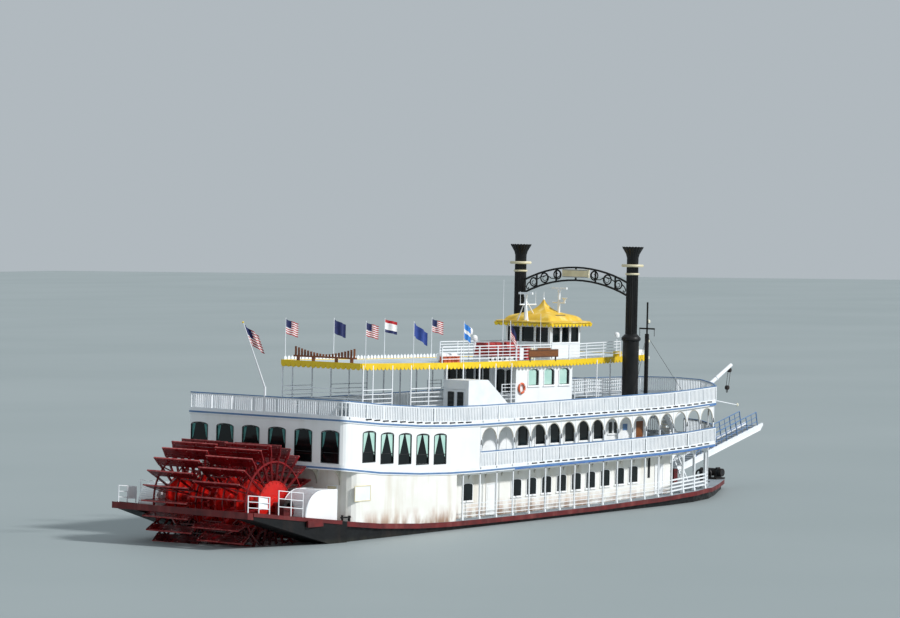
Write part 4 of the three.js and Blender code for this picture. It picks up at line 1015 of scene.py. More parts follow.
class Bays:
    """Bays of posts on a straight plan run between two decks; a joined run has no first post."""

    def __init__(self, shape, start, end, count, levels, joined=True):
        length = math.dist(start, end)
        along = ((end[0] - start[0]) / length, (end[1] - start[1]) / length, 0)
        self.shape, self.start, self.along = shape, start, along
        self.wall = Wall((*start, 0), along, (-along[1], along[0], 0))
        self.pitch = length / count
        self.stations = [index * self.pitch for index in range(count + 1)]
        self.standing = self.stations[1:] if joined else self.stations
        self.level, self.upper = levels

    def foot(self, u):
        return self.level(self.start[0] + self.along[0] * u) + 0.005

    def head(self, u):
        return self.upper(self.start[0] + self.along[0] * u) - DECK

    def posts(self, half):
        """Slender posts with a footing."""
        for u in self.standing:
            foot = self.foot(u)
            for reach, top in ((half, self.head(u)), (half + 0.03, foot + 0.16)):
                self.wall.block(self.shape, about(u, reach), (foot, top), about(0, reach), TRIM)

    def arches(self, rise, hood):
        """Arched head boards with a moulding, and flared capitals on the posts."""
        half = self.pitch / 2 - ARCH_PIER
        for start in self.stations[:-1]:
            centre = start + self.pitch / 2
            curve = arc((centre, self.head(centre) - ARCH_HEAD - rise), (half, rise), 2, 0, 12)
            top = [(u, self.head(u)) for u in (centre + half, centre - half)]
            self.wall.plate(self.shape, curve + top, (-0.035, 0.03), WHITE)
            self.shape.tube([self.wall.at(u, v, 0.01) for u, v in curve], 0.04, hood)
        for u in self.standing:
            head = self.head(u)
            spring = head - ARCH_HEAD - rise
            self.wall.block(self.shape, about(u, ARCH_PIER), (spring, head), (-0.034, 0.029), WHITE)
            capital = [(u - 0.05, spring - 0.3), (u + 0.05, spring - 0.3),
                       (u + ARCH_PIER + 0.02, spring), (u - ARCH_PIER - 0.02, spring)]
            self.wall.plate(self.shape, capital, about(0, 0.05), TRIM)

    def beam(self, depth):
        """A head beam under the deck."""
        for u0, u1 in zip(self.stations, self.stations[1:]):
            corners = [(u0, self.head(u0) - depth), (u1, self.head(u1) - depth),
                       (u1, self.head(u1)), (u0, self.head(u0))]
            self.wall.plate(self.shape, corners, about(0, 0.04), WHITE)

    def knees(self, reach):
        """Curved brackets from the house wall out to the posts, in the shaded white as painted shade."""
        for u in self.standing:
            head = self.head(u)
            outline = arc((0, head - 0.5), (reach, 0.5), 2, 1, 6) + [(-reach, head)]
            sheet = [[self.wall.at(end, v, w) for w, v in outline] for end in about(u, 0.025)]
            self.shape.loft(sheet, SHADE)

    def bars(self, heights, thick):
        for height in heights:
            ends = [self.wall.at(u, self.foot(u) + height) for u in self.stations]
            for start, end in zip(ends, ends[1:]):
                self.shape.beam(start, end, thick, thick, TRIM)


@shaped
def gallery_arcade(shape):
    ends = ((GALLERY_AFT + 0.2, COLUMN_LINE), (BAY_CHANGE, COLUMN_LINE), (DECK_FORE - 0.1, COLUMN_LINE),
            (41.4, 4.5))
    for index, count in enumerate((4, 12, 1)):
        run = Bays(shape, ends[index], ends[index + 1], count, (PROMENADE, HURRICANE), index > 0)
        run.posts(0.05)
        # The gallery's arch mouldings take the shaded white: painted shade.
        run.arches(0.72, SHADE)


MAIN_BARS = (0.98, 0.74, 0.5, 0.26)


@shaped
def main_colonnade(shape):
    levels = (MAIN, PROMENADE)
    ends = ((11.87, COLUMN_LINE), (BAY_CHANGE, COLUMN_LINE), (34.85, COLUMN_LINE), (39.8, 5.35),
            (41.6, 4.35))
    for index, count in enumerate((5, 9)):
        run = Bays(shape, ends[index], ends[index + 1], count, levels, index > 0)
        run.posts(0.04)
        run.beam(0.14)
        run.knees(0.86)
        run.bars(MAIN_BARS, 0.035)
    for index, count in ((2, 3), (3, 1)):
        run = Bays(shape, ends[index], ends[index + 1], count, levels)
        run.posts(0.075)
        run.arches(0.35, TRIM)
        run.bars(MAIN_BARS, 0.09)


pair("arcade_dressed", gallery_arcade(), "arcade")
pair("colonnade_dressed", main_colonnade(), "colonnade")


# Houses: windows, doors and trim on the walls.

STERN_WINDOWS = {"count": 6, "spacing": 2.04, "width": 1.25, "height": 1.85, "rise": 0.12, "sill": 4.74,
                 "drape": "teal_curtain", "drape_foot": 0.45, "drape_open": 0.28}
FLUSH_WINDOWS = {"first": 2.43, "count": 5, "spacing": 1.73, "width": 1.14, "height": 1.78,
                 "rise": 0.12, "above": 0.5, "drape": "pale_blind", "drape_foot": 0.2,
                 "drape_open": 0.06}
GALLERY_WINDOWS = {"at": (19.4, 21.3, 22.9, 24.5, 26.1, 27.7), "width": 1.1, "height": 1.35,
                   "rise": 0.2, "above": 1.1}


def big_window(shape, wall, centre, sill, row):
    """A saloon window: dark frame, glass, and curtains drawn to both sides behind it."""
    width, height = row["width"], row["height"]
    opening = (centre, sill, width, height, row["rise"])
    wall.band(shape, arched(*opening), arched(*opening, 0.05), (-0.05, 0.025), SLOT)
    wall.plate(shape, arched(*opening, 0.01), (-0.06, -0.045), GLASS)
    top, foot = sill + height - 0.06, sill + height * row["drape_foot"]
    for side in (-1, 1):
        edge = centre + side * (width / 2 - 0.02)
        gather = centre + side * width * row["drape_open"]
        drape = [(edge, foot), (edge, top), (gather, top), (edge - side * 0.1, foot + height * 0.12)]
        wall.plate(shape, drape, (-0.043, -0.038), row["drape"])
    rail = sill + height * 0.3
    wall.block(shape, about(centre, width / 2), (rail, rail + 0.035), (-0.046, 0.0), SLOT)


@shaped
def saloon_side(shape):
    row = FLUSH_WINDOWS
    for index in range(row["count"]):
        x = row["first"] + index * row["spacing"]
        big_window(shape, side_wall(HALF_BEAM), x, PROMENADE(x) + row["above"], row)
    row = GALLERY_WINDOWS
    for x in row["at"]:
        opening = (x, PROMENADE(x) + row["above"], row["width"], row["height"], row["rise"])
        window(shape, side_wall(GALLERY_HALF), opening)


@shaped
def saloon_aft(shape):
    row = STERN_WINDOWS
    for index in range(row["count"]):
        y = (index - (row["count"] - 1) / 2) * row["spacing"]
        big_window(shape, cross_wall(0), y, row["sill"], row)


pair("saloon_windows", saloon_side())
piece("saloon_stern_windows", saloon_aft())


@shaped
def gallery_fittings(shape):
    """The narrow pair of panes, the blank plate and the door near the front of the gallery."""
    wall = side_wall(GALLERY_HALF)
    for centre in NARROW_PANES:
        window(shape, wall, (centre, 5.48, 0.42, 0.75, 0.04), 0.05, recess=PROUD)
    wall.block(shape, (30.5, 31.0), (5.64, 6.05), (0.002, 0.03), BLUE)
    for x, leaf in ((32.4, "brown_wood"), (17.2, WHITE)):
        doorway(shape, wall, x, PROMENADE(x) + 0.03, 0.85, 2.0, leaf)


NARROW_PANES = (29.03, 29.63)
LOWER_DOORS = (15.9, 34.6)
LOWER_WINDOWS = (13.5, 18.6, 20.2, 21.83, 23.47, 25.1, 26.7, 28.35, 30.0, 31.58)


@shaped
def lower_house_fittings(shape):
    """Proud windows, doors, a blank board and a slit along the main deck's house; the slit is a dark strip
    of painted shade.
    """
    wall = side_wall(LOWER_HALF)
    for x in LOWER_WINDOWS:
        window(shape, wall, (x, MAIN(x) + 1.08, 1.0, 1.05, 0.12), 0.06, recess=PROUD)
    # A dark strip proud of the wall stands for the slit: painted shade.
    wall.block(shape, (33.3, 33.55), (2.4, 3.85), (0.002, 0.03), SLOT)
    for x in LOWER_DOORS:
        doorway(shape, wall, x, MAIN(x) + 0.03, 0.85, 1.95, WHITE)
    side = side_wall(HALF_BEAM)
    board = rectangle((1.2, 2.6), (2.48, 3.3))
    side.band(shape, board, rectangle((1.14, 2.66), (2.42, 3.36)), (0.001, 0.03), CREAM)
    side.plate(shape, board, (0.002, 0.015), TRIM)


@shaped
def lower_aft_fittings(shape):
    """Doors in the aft bulkhead and the brackets that carry the upper house over it."""
    wall = cross_wall(LOWER_HOUSE_AFT)
    for y in (-4.6, 4.6):
        doorway(shape, wall, y, MAIN(LOWER_HOUSE_AFT) + 0.05, 0.7, 1.95, CREAM)
    top = PROMENADE(0.4) - DECK - 0.01
    curve = arc((0.08, top - 0.9), (0.82, 0.9), 0, 1, 6)
    # The brackets take the shaded white: painted shade.
    for y in (-5.15, -3.4, -1.2, 1.2, 3.4, 5.15):
        shape.prism("y", curve + [(0.9, top)], *about(y, 0.05), SHADE)


pair("gallery_fittings", gallery_fittings())
pair("lower_house_fittings", lower_house_fittings())
piece("lower_aft_fittings", lower_aft_fittings())


# Texas and pilot house: glass and frames in the openings of their walls.

TEXAS = {"aft": 21.35, "fore": 27.55, "half": 2.9}
# Texas windows: middle, sill, width, height and rise of the head.
TEXAS_SIDE = [(x, 8.66, 1.12, 1.06, 0.16) for x in (23.24, 24.95, 26.62)]
TEXAS_AFT = ((-2.4, 8.2, 0.54, 1.5, 0.1), (-1.7, 8.2, 0.66, 1.5, 0.1),
             (-0.25, 8.0, 1.12, 1.85, 0.02), (1.5, 8.0, 2.1, 1.85, 0.02))
TEXAS_FORE = [(y, 8.66, 0.9, 1.2, 0.02) for y in (-1.5, 0, 1.5)]
PILOT = {"aft": 26.55, "fore": 29.9, "half": 1.8, "sill": 11.33, "head": 12.3}


@shaped
def texas_windows(shape):
    for half, out in ((-TEXAS["half"], STARBOARD), (TEXAS["half"], PORT)):
        wall = side_wall(half, out)
        for opening in TEXAS_SIDE:
            window(shape, wall, opening, 0.06)
            x, sill, width, height, rise = opening
            blind = arched(x - width * 0.08, sill + 0.03, width * 0.8, height - 0.06, rise)
            wall.plate(shape, blind, (-0.048, -0.042), "pale_blind")
    for opening in TEXAS_AFT:
        panes = max(1, round(opening[2] / 0.7))
        window(shape, cross_wall(TEXAS["aft"]), opening, 0.06, panes=panes)
    for opening in TEXAS_FORE:
        window(shape, cross_wall(TEXAS["fore"], FORE), opening, 0.06)


@shaped
def pilot_windows(shape):
    sill, height = PILOT["sill"], PILOT["head"] - PILOT["sill"]
    for half, out in ((-PILOT["half"], STARBOARD), (PILOT["half"], PORT)):
        wall = side_wall(half, out)
        for index in range(3):
            opening = (PILOT["aft"] + 0.62 + index * 1.03, sill, 0.86, height, 0.02)
            window(shape, wall, opening, 0.04, TRIM)
        for z in (10.5, 10.72, 10.94, 11.16):
            wall.block(shape, (PILOT["aft"], PILOT["fore"]), (z, z + 0.025), (0.001, 0.02), WHITE)
    for x, out in ((PILOT["aft"], AFT), (PILOT["fore"], FORE)):
        for y in (-1.14, 0, 1.14):
            window(shape, cross_wall(x, out), (y, sill, 0.98, height, 0.02), 0.04, TRIM)


piece("texas_windows", texas_windows())
piece("pilot_house_windows", pilot_windows())


# Panes in the stair house's two leaves.

LEAF = {"x": 13.3, "sill": 0.9, "width": 0.5, "height": 0.95}
for name, y in (("inner", -3.861), ("outer", -4.589)):
    pane = Shape()
    opening = (y, HURRICANE(LEAF["x"]) + LEAF["sill"], LEAF["width"], LEAF["height"], 0.02)
    window(pane, cross_wall(LEAF["x"]), opening, 0.03, "grey_paint", recess=PROUD)
    piece(f"stair_leaf_glass_{name}", pane, f"stair_house_leaf_{name}")


# Stern: red boards along the girders, their rails, and the bitts on the guard.


@shaped
def girder_fittings(shape):
    line = on_deck([(-7.0, 5.25), (0.0, 6.105)], MAIN)
    shape.sweep(line, rectangle((0.002, 0.05), (-0.2, 0.03)), GUARD_RED)
    shape.sweep(line, rectangle((-0.12, 0.0), (0.002, 0.03)), GUARD_RED)
    aft = [(x, 5.0 + (x + 7.3) * 0.1, MAIN(max(x, -7.0)) + 0.02) for x in (-7.2, -6.35, -5.5)]
    open_rail(shape, aft, 1.0, (0.3, 0.64, 0.98))
    panel = [(-6.3, 2.28), (-5.55, 2.24), (-5.55, 2.94), (-6.3, 2.98)]
    shape.prism("y", panel, 5.06, 5.1, TRIM)
    tall = [(x, 5.3 + (x + 5.5) * 0.1, MAIN(x) + 0.02) for x in (-4.9, -3.9, -2.95)]
    open_rail(shape, tall, 1.45, (0.35, 0.67, 0.98))
    for x in (0.35, 1.0):
        shape.upright(x, 5.85, (MAIN(x), MAIN(x) + 0.34), 0.07, HULL_BLACK, 10)
    bar = MAIN(0.6) + 0.22
    shape.rod((0.22, 5.85, bar), (1.13, 5.85, bar), 0.05, HULL_BLACK, 10)
    shape.box((-2.9, -1.5), (5.82, 5.96), (1.12, 1.5), GUARD_RED)


pair("girder_fittings", girder_fittings())


COVER = {"aft": -5.3, "fore": -2.81, "inner": 3.86, "outer": 5.2, "top": 3.12, "round": 1.25}


@shaped
def port_bearing_cover(shape):
    """The slatted round-topped cover that stands on the port girder, aft of its casing."""
    cover(shape, COVER)
    for x, z in cover_line(COVER)[1:]:
        ends = [(x, y, z) for y in (COVER["inner"] + 0.05, COVER["outer"] - 0.05)]
        shape.beam(*ends, 0.05, 0.05, TRIM)


piece("port_bearing_cover", port_bearing_cover())


# Smoke stacks, the arch between them and the signal mast.

STACK_X = 31.8
STACK_Y = 4.56
STACK_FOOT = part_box("smoke_stack_port")[0].z / SCALE - DRAFT
PETALS = 20
# Cream rings: height above the foot, radius and depth.
STACK_RINGS = ((8.82, 0.47, 0.13), (9.35, 0.73, 0.17))


def petals(height, radius, wave, lift=0.0):
    """A ring of the stack that waves out and in, and up and down by a share of that."""
    ring = []
    for step, (c, s) in enumerate(circle(PETALS * 4)):
        swing = wave * (1, 0, -1, 0)[step % 4]
        reach = radius + swing
        ring.append((STACK_X + reach * c, STACK_Y + reach * s, STACK_FOOT + height + swing * lift))
    return ring


@shaped
def stack(shape):
    centre = (STACK_X, STACK_Y, STACK_FOOT)
    shape.lathe([(0.62, 0.0), (0.62, 0.12), (0.56, 0.16)], centre, STACK_BLACK, 40)
    shape.lathe([(0.54, 0.0), (0.54, 4.45), (0.6, 4.5), (0.64, 4.55), (0.64, 4.68), (0.6, 4.74),
                 (0.44, 4.9), (0.38, 4.95), (0.38, 4.97)], centre, STACK_BLACK, 40)
    shape.loft([petals(height, 0.375, 0.016) for height in (4.9, 9.3)], STACK_BLACK)
    for height, radius, depth in STACK_RINGS:
        profile = [(0.37, height), (radius - 0.03, height), (radius, height + depth * 0.3),
                   (radius, height + depth * 0.7), (radius - 0.03, height + depth), (0.37, height + depth)]
        shape.lathe(profile, centre, CREAM, 40)
    rows = ((9.3, 0.38, 0.0), (9.95, 0.385, 0.006), (10.2, 0.45, 0.012), (10.42, 0.57, 0.02),
            (10.6, 0.69, 0.028), (10.69, 0.7, 0.03), (10.6, 0.64, 0.02), (10.2, 0.37, 0.0),
            (9.9, 0.33, 0.0))
    crown = [petals(height - wave * 0.6, radius - wave, wave, 0.6 if height > 10.5 else 0)
             for height, radius, wave in rows]
    shape.loft(crown, STACK_BLACK)


pair("stack_dressed", stack(), "smoke_stack")


@shaped
def arch_scrolls(shape):
    """Rings and scrolls between the arch's two chords, round a blank plate."""
    for side in (-1, 1):
        for y, z, radius in ((3.45, 15.14, 0.28), (2.56, 15.44, 0.31), (1.5, 15.68, 0.29)):
            shape.ring(radius, 0.05, (STACK_X, side * y, z), STACK_BLACK, "x", 24, 6)
            curl = []
            for step in range(13):
                angle = math.radians(60 + 36 * step)
                reach = radius * (1 - 0.065 * step)
                curl.append((STACK_X, side * (y + reach * math.cos(angle)), z + reach * math.sin(angle)))
            shape.tube(curl, 0.03, STACK_BLACK, 6, 0.02)
        for line in (
            ((1.24, 15.64), (1.6, 15.42), (2.0, 15.42), (2.35, 15.62), (2.8, 15.52), (3.2, 15.3)),
            ((3.7, 15.2), (3.95, 15.0), (4.05, 14.8), (3.98, 14.66), (3.86, 14.68), (3.86, 14.78)),
        ):
            shape.tube([(STACK_X, side * y, z) for y, z in line], 0.035, STACK_BLACK)
    shape.box(about(STACK_X, 0.11), (-1.04, 1.04), (15.52, 16.06), CREAM)
    for x in (STACK_X - 0.12, STACK_X + 0.11):
        for z in (15.54, 16.0):
            shape.box((x, x + 0.01), (-1.0, 1.0), (z, z + 0.03), BLUE)


piece("stack_arch_scrolls", arch_scrolls())


# Pilot house roof: bell-shaped courses swept up to a finial over a scalloped eave.

ROOF_CENTRE = (26.55 + 29.9) / 2
EAVE = 2.32
SCALLOPS = 12
ROOF_COURSES = [
    (EAVE, 12.55), (EAVE, 12.66), (2.24, 12.69), (1.9, 12.73), (1.86, 12.78), (1.81, 12.86),
    (1.72, 12.95), (1.58, 13.03), (1.4, 13.09), (1.2, 13.14), (1.0, 13.19), (0.82, 13.25),
    (0.65, 13.33), (0.5, 13.42), (0.36, 13.54), (0.25, 13.66), (0.16, 13.79), (0.09, 13.92),
    (0.04, 14.05),
]


def course(half, z, rounding=0.1):
    """A rounded square at a height."""
    radius = half * rounding
    points = []
    for quarter, (sx, sy) in enumerate(((1, 1), (-1, 1), (-1, -1), (1, -1))):
        centre = (ROOF_CENTRE + sx * (half - radius), sy * (half - radius))
        points += [(x, y, z) for x, y in arc(centre, (radius, radius), quarter, quarter + 1, 4)]
    return points


@shaped
def pilot_roof(shape):
    shape.loft([course(*row) for row in ROOF_COURSES], "roof_yellow_paint")
    half = EAVE / SCALLOPS
    for axis, aside, along in (("y", ROOF_CENTRE, 0), ("x", 0, ROOF_CENTRE)):
        for low, high in ((EAVE - 0.04, EAVE), (-EAVE, 0.04 - EAVE)):
            for index in range(SCALLOPS):
                middle = aside - EAVE + (2 * index + 1) * half
                scallop = arc((middle, 12.58), (half * 0.92, -0.24), 0, 2, 6)
                shape.prism(axis, scallop, along + low, along + high, YELLOW)
    shape.lathe([(0.03, 14.0), (0.08, 14.08), (0.05, 14.17), (0.02, 14.22), (0.015, 14.55), (0.0, 14.57)],
                (ROOF_CENTRE, 0, 0), TRIM, 12)
    for x, y, foot, top in ((28.75, -0.85, 12.7, 14.6), (26.35, 0.1, 12.6, 14.25)):
        shape.upright(x, y, (foot, top), 0.09, TRIM, 14)


piece("pilot_roof_dressed", pilot_roof(), replaces=["pilot_house_roof"])


# Canopy frames.

FRAME_LINE = 3.12
POST_LINE = FRAME_LINE + 0.035
VALANCE = 0.42
CANOPY_ENDS = (5.25, 35.95)
CANOPY_POSTS = [5.4, 6.35, 8.25, 10.1, 11.9, 13.7, 15.4, 17.1, 18.8, 20.5, 29.95, 31.5, 33.3, 35.8]
FLAGPOLES = [5.6, 10.3, 15.4, 20.3]
CEILING = 0.121
CANOPY_LAMPS = (7.3, 11.0, 14.6, 18.0)
PICKETS = {"first": 5.5, "spacing": 0.34, "count": 46, "width": 0.24}


def scallops(shape, wall, start, end, top, pitch=0.38, cut=0.2):
    """A valance board whose lower edge is cut in scallops; top gives its height along the wall."""
    count = round((end - start) / pitch)
    for index in range(count):
        u0, u1 = mix(start, end, index / count), mix(start, end, (index + 1) / count)
        middle = (u0 + u1) / 2
        curve = arc((middle, top(middle) - VALANCE + cut), ((u1 - u0) / 2, -cut), 0, 2, 6)
        wall.plate(shape, [(u1, top(u1))] + curve + [(u0, top(u0))], (0, 0.06), YELLOW)


BOAT_RAIL = {"starboard": 13.2, "port": 21.2, "fore": 32.6}
LEVEL_BARS = (7.68, 7.95, 8.22, 8.49, 8.76)
LEVEL_RUNS = ((5.4, 8.25), (10.1, 13.7))


@shaped
def canopy_frame(shape, rail_aft):
    scallops(shape, side_wall(FRAME_LINE), *CANOPY_ENDS, lambda x: BOAT_DECK(x) + 0.03)
    for x in CANOPY_POSTS:
        shape.box(about(x, 0.04), (FRAME_LINE + 0.01, FRAME_LINE + 0.07),
                  (HURRICANE(x) + 0.005, BOAT_DECK(x) - 0.1), TRIM)
    for z in LEVEL_BARS:
        for x0, x1 in LEVEL_RUNS:
            shape.beam((x0, POST_LINE, z), (x1, POST_LINE, z), 0.05, 0.05, TRIM)
    railing(shape, [(rail_aft, POST_LINE), (BOAT_RAIL["fore"], POST_LINE)], BOAT_DECK, 1.05, 2.0,
            bars=(0.25, 0.45, 0.65, 0.85), cap=TRIM, post_width=0.06)
    for x in FLAGPOLES:
        top = BOAT_DECK(x)
        shape.upright(x, POST_LINE, (top - 0.2, top + 2.6), 0.03, TRIM, 8, 0.022)


def port_pickets(shape):
    """Pointed boards along the port edge, aft of its rail."""
    for index in range(PICKETS["count"]):
        x = PICKETS["first"] + index * PICKETS["spacing"]
        foot = BOAT_DECK(x) + 0.035
        middle, end = x + PICKETS["width"] / 2, x + PICKETS["width"]
        board = [(x, foot), (end, foot), (end, foot + 0.14), (middle, foot + 0.24), (x, foot + 0.14)]
        shape.prism("y", board, FRAME_LINE + 0.01, FRAME_LINE + 0.04, TRIM)


port_frame = canopy_frame(BOAT_RAIL["port"])
port_pickets(port_frame)
piece("canopy_dressed_port", port_frame, replaces=["canopy_frame_port"])
piece("canopy_dressed_starboard", canopy_frame(BOAT_RAIL["starboard"]).mirrored(),
      replaces=["canopy_frame_starboard"])


@shaped
def canopy_ends(shape):
    """Across the boat deck: valances at its ends, the aft rail's bars, and ribs and lamps below."""
    for x, out in zip(CANOPY_ENDS, (AFT, FORE)):
        level = BOAT_DECK(x) + 0.03
        scallops(shape, cross_wall(x, out), -FRAME_LINE, FRAME_LINE, lambda y: level)
    aft = CANOPY_POSTS[0]
    for z in LEVEL_BARS:
        ends = [(aft, y, z) for y in about(0, POST_LINE)]
        shape.beam(*ends, 0.05, 0.05, TRIM)
    for x in CANOPY_POSTS:
        if x < 21 or x > 28:
            top = BOAT_DECK(x) - CEILING
            shape.box(about(x, 0.03), (-3.1, 3.1), (top - 0.09, top), TRIM)
    for x in CANOPY_LAMPS:
        for y in (-1.6, 1.6):
            shape.lathe([(0.05, 0.0), (0.13, -0.06), (0.15, -0.2), (0.0, -0.22)],
                        (x, y, BOAT_DECK(x) - CEILING), DARK_GREY, 14)


piece("canopy_ends", canopy_ends())


# Gear on the boat deck, the trunk and the pilot house.


def canister(shape, centre, radius, half, axis):
    """A round-ended drum on two chocks, lying along an axis."""
    profile = [(0.0, half), (radius * 0.6, half * 0.97), (radius * 0.92, half * 0.86),
               (radius, half * 0.7), (radius, 0.04), (radius * 1.05, 0.03)]
    shape.lathe(symmetric(profile), centre, PLASTIC, 24, axis)
    x, y, z = centre
    for along in about(0, half / 2):
        dx, dy = (along, 0) if axis == "x" else (0, along)
        reach = (0.06, radius * 0.8) if axis == "x" else (radius * 0.8, 0.06)
        shape.box(about(x + dx, reach[0]), about(y + dy, reach[1]),
                  (z - radius - 0.05, z - radius * 0.72), DARK_GREY)


def float_rack(shape, x, y):
    """A white chest with round holes drawn as dark discs of painted shade, under a rack of stacked red
    floats.
    """
    base = BOAT_DECK(x[0]) + 0.002
    length = x[1] - x[0]
    shape.box(x, y, (base, base + 0.3), WHITE)
    count = round(length / 0.52)
    for index in range(count):
        centre = x[0] + (index + 0.5) * length / count
        # The holes are dark discs on the chest's sides: painted shade.
        for edge, turn in ((y[0] - 0.012, 1), (y[1] + 0.012, -1)):
            shape.lathe([(0.0, 0.0), (0.09, 0.0), (0.11, 0.012 * turn), (0.0, 0.012 * turn)],
                        (centre, edge, base + 0.16), SLOT, 16, "y")
    for tier in range(4):
        low = base + 0.32 + tier * 0.22
        right, left = y[0] + 0.05 * tier, y[1] - 0.05 * tier
        section = [(right, low + 0.05), (right + 0.05, low), (left - 0.05, low), (left, low + 0.05),
                   (left, low + 0.15), (left - 0.05, low + 0.2), (right + 0.05, low + 0.2),
                   (right, low + 0.15)]
        for index in range(3):
            start = x[0] + 0.06 + index * length / 3
            shape.prism("x", section, start, start + length / 3 - 0.08, FLOAT_RED)
    sides = (y[0] - 0.03, y[1] + 0.03)
    for end in (x[0] + 0.03, (x[0] + x[1]) / 2, x[1] - 0.03):
        for side in sides:
            shape.upright(end, side, (base, base + 1.24), 0.025, TRIM, 6)
        shape.rod(*[(end, side, base + 1.22) for side in sides], 0.025, TRIM, 6)


@shaped
def boat_deck_gear(shape):
    float_rack(shape, (18.5, 21.6), (-2.75, -1.6))
    deck = BOAT_DECK(14.6)
    canister(shape, (15.3, -1.8, deck + 0.34), 0.28, 0.66, "x")
    for index in range(4):
        x = 13.95 + index * 0.42
        shape.box((x, x + 0.35), (-2.75, -2.4), (deck + 0.01, deck + 0.38), "float_orange")
    for x, y, axis in ((17.1, -0.7, "y"), (24.9, 1.7, "x")):
        canister(shape, (x, y, BOAT_DECK(x) + 0.3), 0.25, 0.6, axis)
    for x, y, top, radius in ((18.8, -1.0, 12.13, 0.25), (19.4, -1.0, 11.68, 0.2), (35.3, -1.0, 11.69, 0.2)):
        shape.upright(x, y, (BOAT_DECK(x), top - radius), 0.04, TRIM)
        shape.lathe([(0.02, -radius), (radius * 0.9, -radius * 0.8), (radius, -radius * 0.1),
                     (radius * 0.86, radius * 0.5), (radius * 0.5, radius * 0.87), (0.0, radius)],
                    (x, y, top), PLASTIC, 20)
    x0, x1 = 22.26, 25.46
    low = BOAT_DECK(23) + 0.22
    shape.box((x0, x1), (-3.25, -3.2), (low, low + 0.5), "brown_wood")
    shape.box((23.2, 24.6), (-3.249, -3.201), (low + 0.5, low + 0.6), "brown_wood")
    for edge in (low + 0.03, low + 0.43):
        shape.box((x0 + 0.05, x1 - 0.05), (-3.262, -3.25), (edge, edge + 0.035), "dark_wood")
    for x in (x0 + 0.2, x1 - 0.2):
        shape.box(about(x, 0.04), (-3.2, -3.13), (BOAT_DECK(23) - 0.05, low + 0.5), "dark_wood")
    for at, x, y, height, paint in ((32.7, (32.45, 32.95), (-3.05, -2.7), 0.34, YELLOW),
                                    (35.3, (34.9, 35.8), (-2.9, -2.3), 0.36, WHITE)):
        shape.box(x, y, (BOAT_DECK(at) + 0.002, BOAT_DECK(at) + height), paint)
    shape.lathe([(0.12, 0.0), (0.15, 0.06), (0.15, 0.2), (0.09, 0.28), (0.0, 0.3)],
                (35.4, -2.6, BOAT_DECK(35.4) + 0.36), LAMP, 16)
    for x, y, top, paint in ((22.9, -1.5, 0.9, FLOAT_RED), (23.5, -1.4, 0.75, TRIM),
                             (24.1, -1.5, 0.85, FLOAT_RED), (25.6, -0.8, 0.7, CREAM)):
        shape.box((x, x + 0.4), about(y, 0.2), (BOAT_DECK(x) + 0.002, BOAT_DECK(x) + top), paint)


piece("boat_deck_gear", boat_deck_gear())


TRUNK_TOP = 7.62
TRUNK_HALF = 2.98


@shaped
def trunk_rails(shape):
    """Barred rails on the trunk and a life ring on each side of the texas house."""
    bars = (0.2, 0.4, 0.6, 0.8, 0.98)
    for x0, x1 in ((19.75, 21.2), (27.75, 33.1)):
        count = max(1, round((x1 - x0) / 1.35))
        for side in about(0, TRUNK_HALF):
            feet = [(mix(x0, x1, step / count), side, TRUNK_TOP) for step in range(count + 1)]
            open_rail(shape, feet, 1.2, bars)
    front = [(x1, TRUNK_HALF * (step / 2 - 1), TRUNK_TOP) for step in range(5)]
    open_rail(shape, front, 1.2, bars, 0.048)
    for side in about(0, TRUNK_HALF):
        shape.ring(0.3, 0.07, (21.9, side, 8.5), "float_orange", "y", 28, 8)
        for turn in range(4):
            angle = math.radians(45 + 90 * turn)
            centre = (21.9 + 0.3 * math.cos(angle), side, 8.5 + 0.3 * math.sin(angle))
            shape.ring(0.075, 0.02, centre, TRIM, "x", 12, 6)


piece("trunk_rails", trunk_rails())


@shaped
def radio_gear(shape):
    """A tripod, crossbar, horn and whips round the scanners' masts."""
    for foot in ((26.0, -0.35, 12.64), (26.0, 0.5, 12.64), (27.3, 0.1, 13.05)):
        shape.rod(foot, (26.35, 0.1, 14.1), 0.045, TRIM, 8, 0.03)
    shape.rod((25.7, 0.1, 13.75), (27.5, 0.1, 13.75), 0.045, TRIM)
    for x in (25.75, 27.45):
        shape.upright(x, 0.1, (13.72, 14.6), 0.02, TRIM, 6, 0.012)
    shape.rod((28.75, -1.35, 13.9), (28.75, -0.35, 13.9), 0.05, TRIM)
    shape.lathe([(0.04, 0.0), (0.06, 0.16), (0.12, 0.28), (0.2, 0.34), (0.21, 0.36), (0.05, 0.33)],
                (28.75, -1.3, 13.86), TRIM, 16)
    shape.box((27.6, 28.6), (-1.5, -1.1), (12.78, 13.1), DARK_GREY)
    for x, y, top in ((23.9, 0.1, 15.35), (30.6, 0.9, 13.6), (25.3, -1.9, 13.2)):
        shape.upright(x, y, (BOAT_DECK(x), top), 0.035, TRIM, 6, 0.012)


piece("radio_gear", radio_gear())


MAST = {"x": 33.75, "y": -4.5, "lamps": (10.2, 11.3, 12.6), "stay_top": 11.8}
STAY_FEET = ((37.5, -5.6), (30.4, -5.6), (33.9, -2.9))


@shaped
def mast_rigging(shape):
    """Lamps, drop lines and stays of the signal mast."""
    for z in MAST["lamps"]:
        shape.lathe([(0.05, 0.0), (0.12, 0.04), (0.12, 0.2), (0.05, 0.24)],
                    (MAST["x"] + 0.15, MAST["y"], z), LAMP, 12)
        shape.box((33.7, 33.92), about(MAST["y"], 0.03), (z - 0.03, z), STEEL)
    for y in about(MAST["y"], 0.58):
        shape.upright(MAST["x"], y, (12.2, 11.75), 0.02, STEEL, 6)
    for x, y in STAY_FEET:
        shape.rod((MAST["x"], MAST["y"], MAST["stay_top"]), (x, y, HURRICANE(x) + 0.02), 0.012, STEEL, 5)


piece("mast_rigging", mast_rigging())


# Bow gear: what rides with the landing stage and the boom, and the fittings of the fore deck.

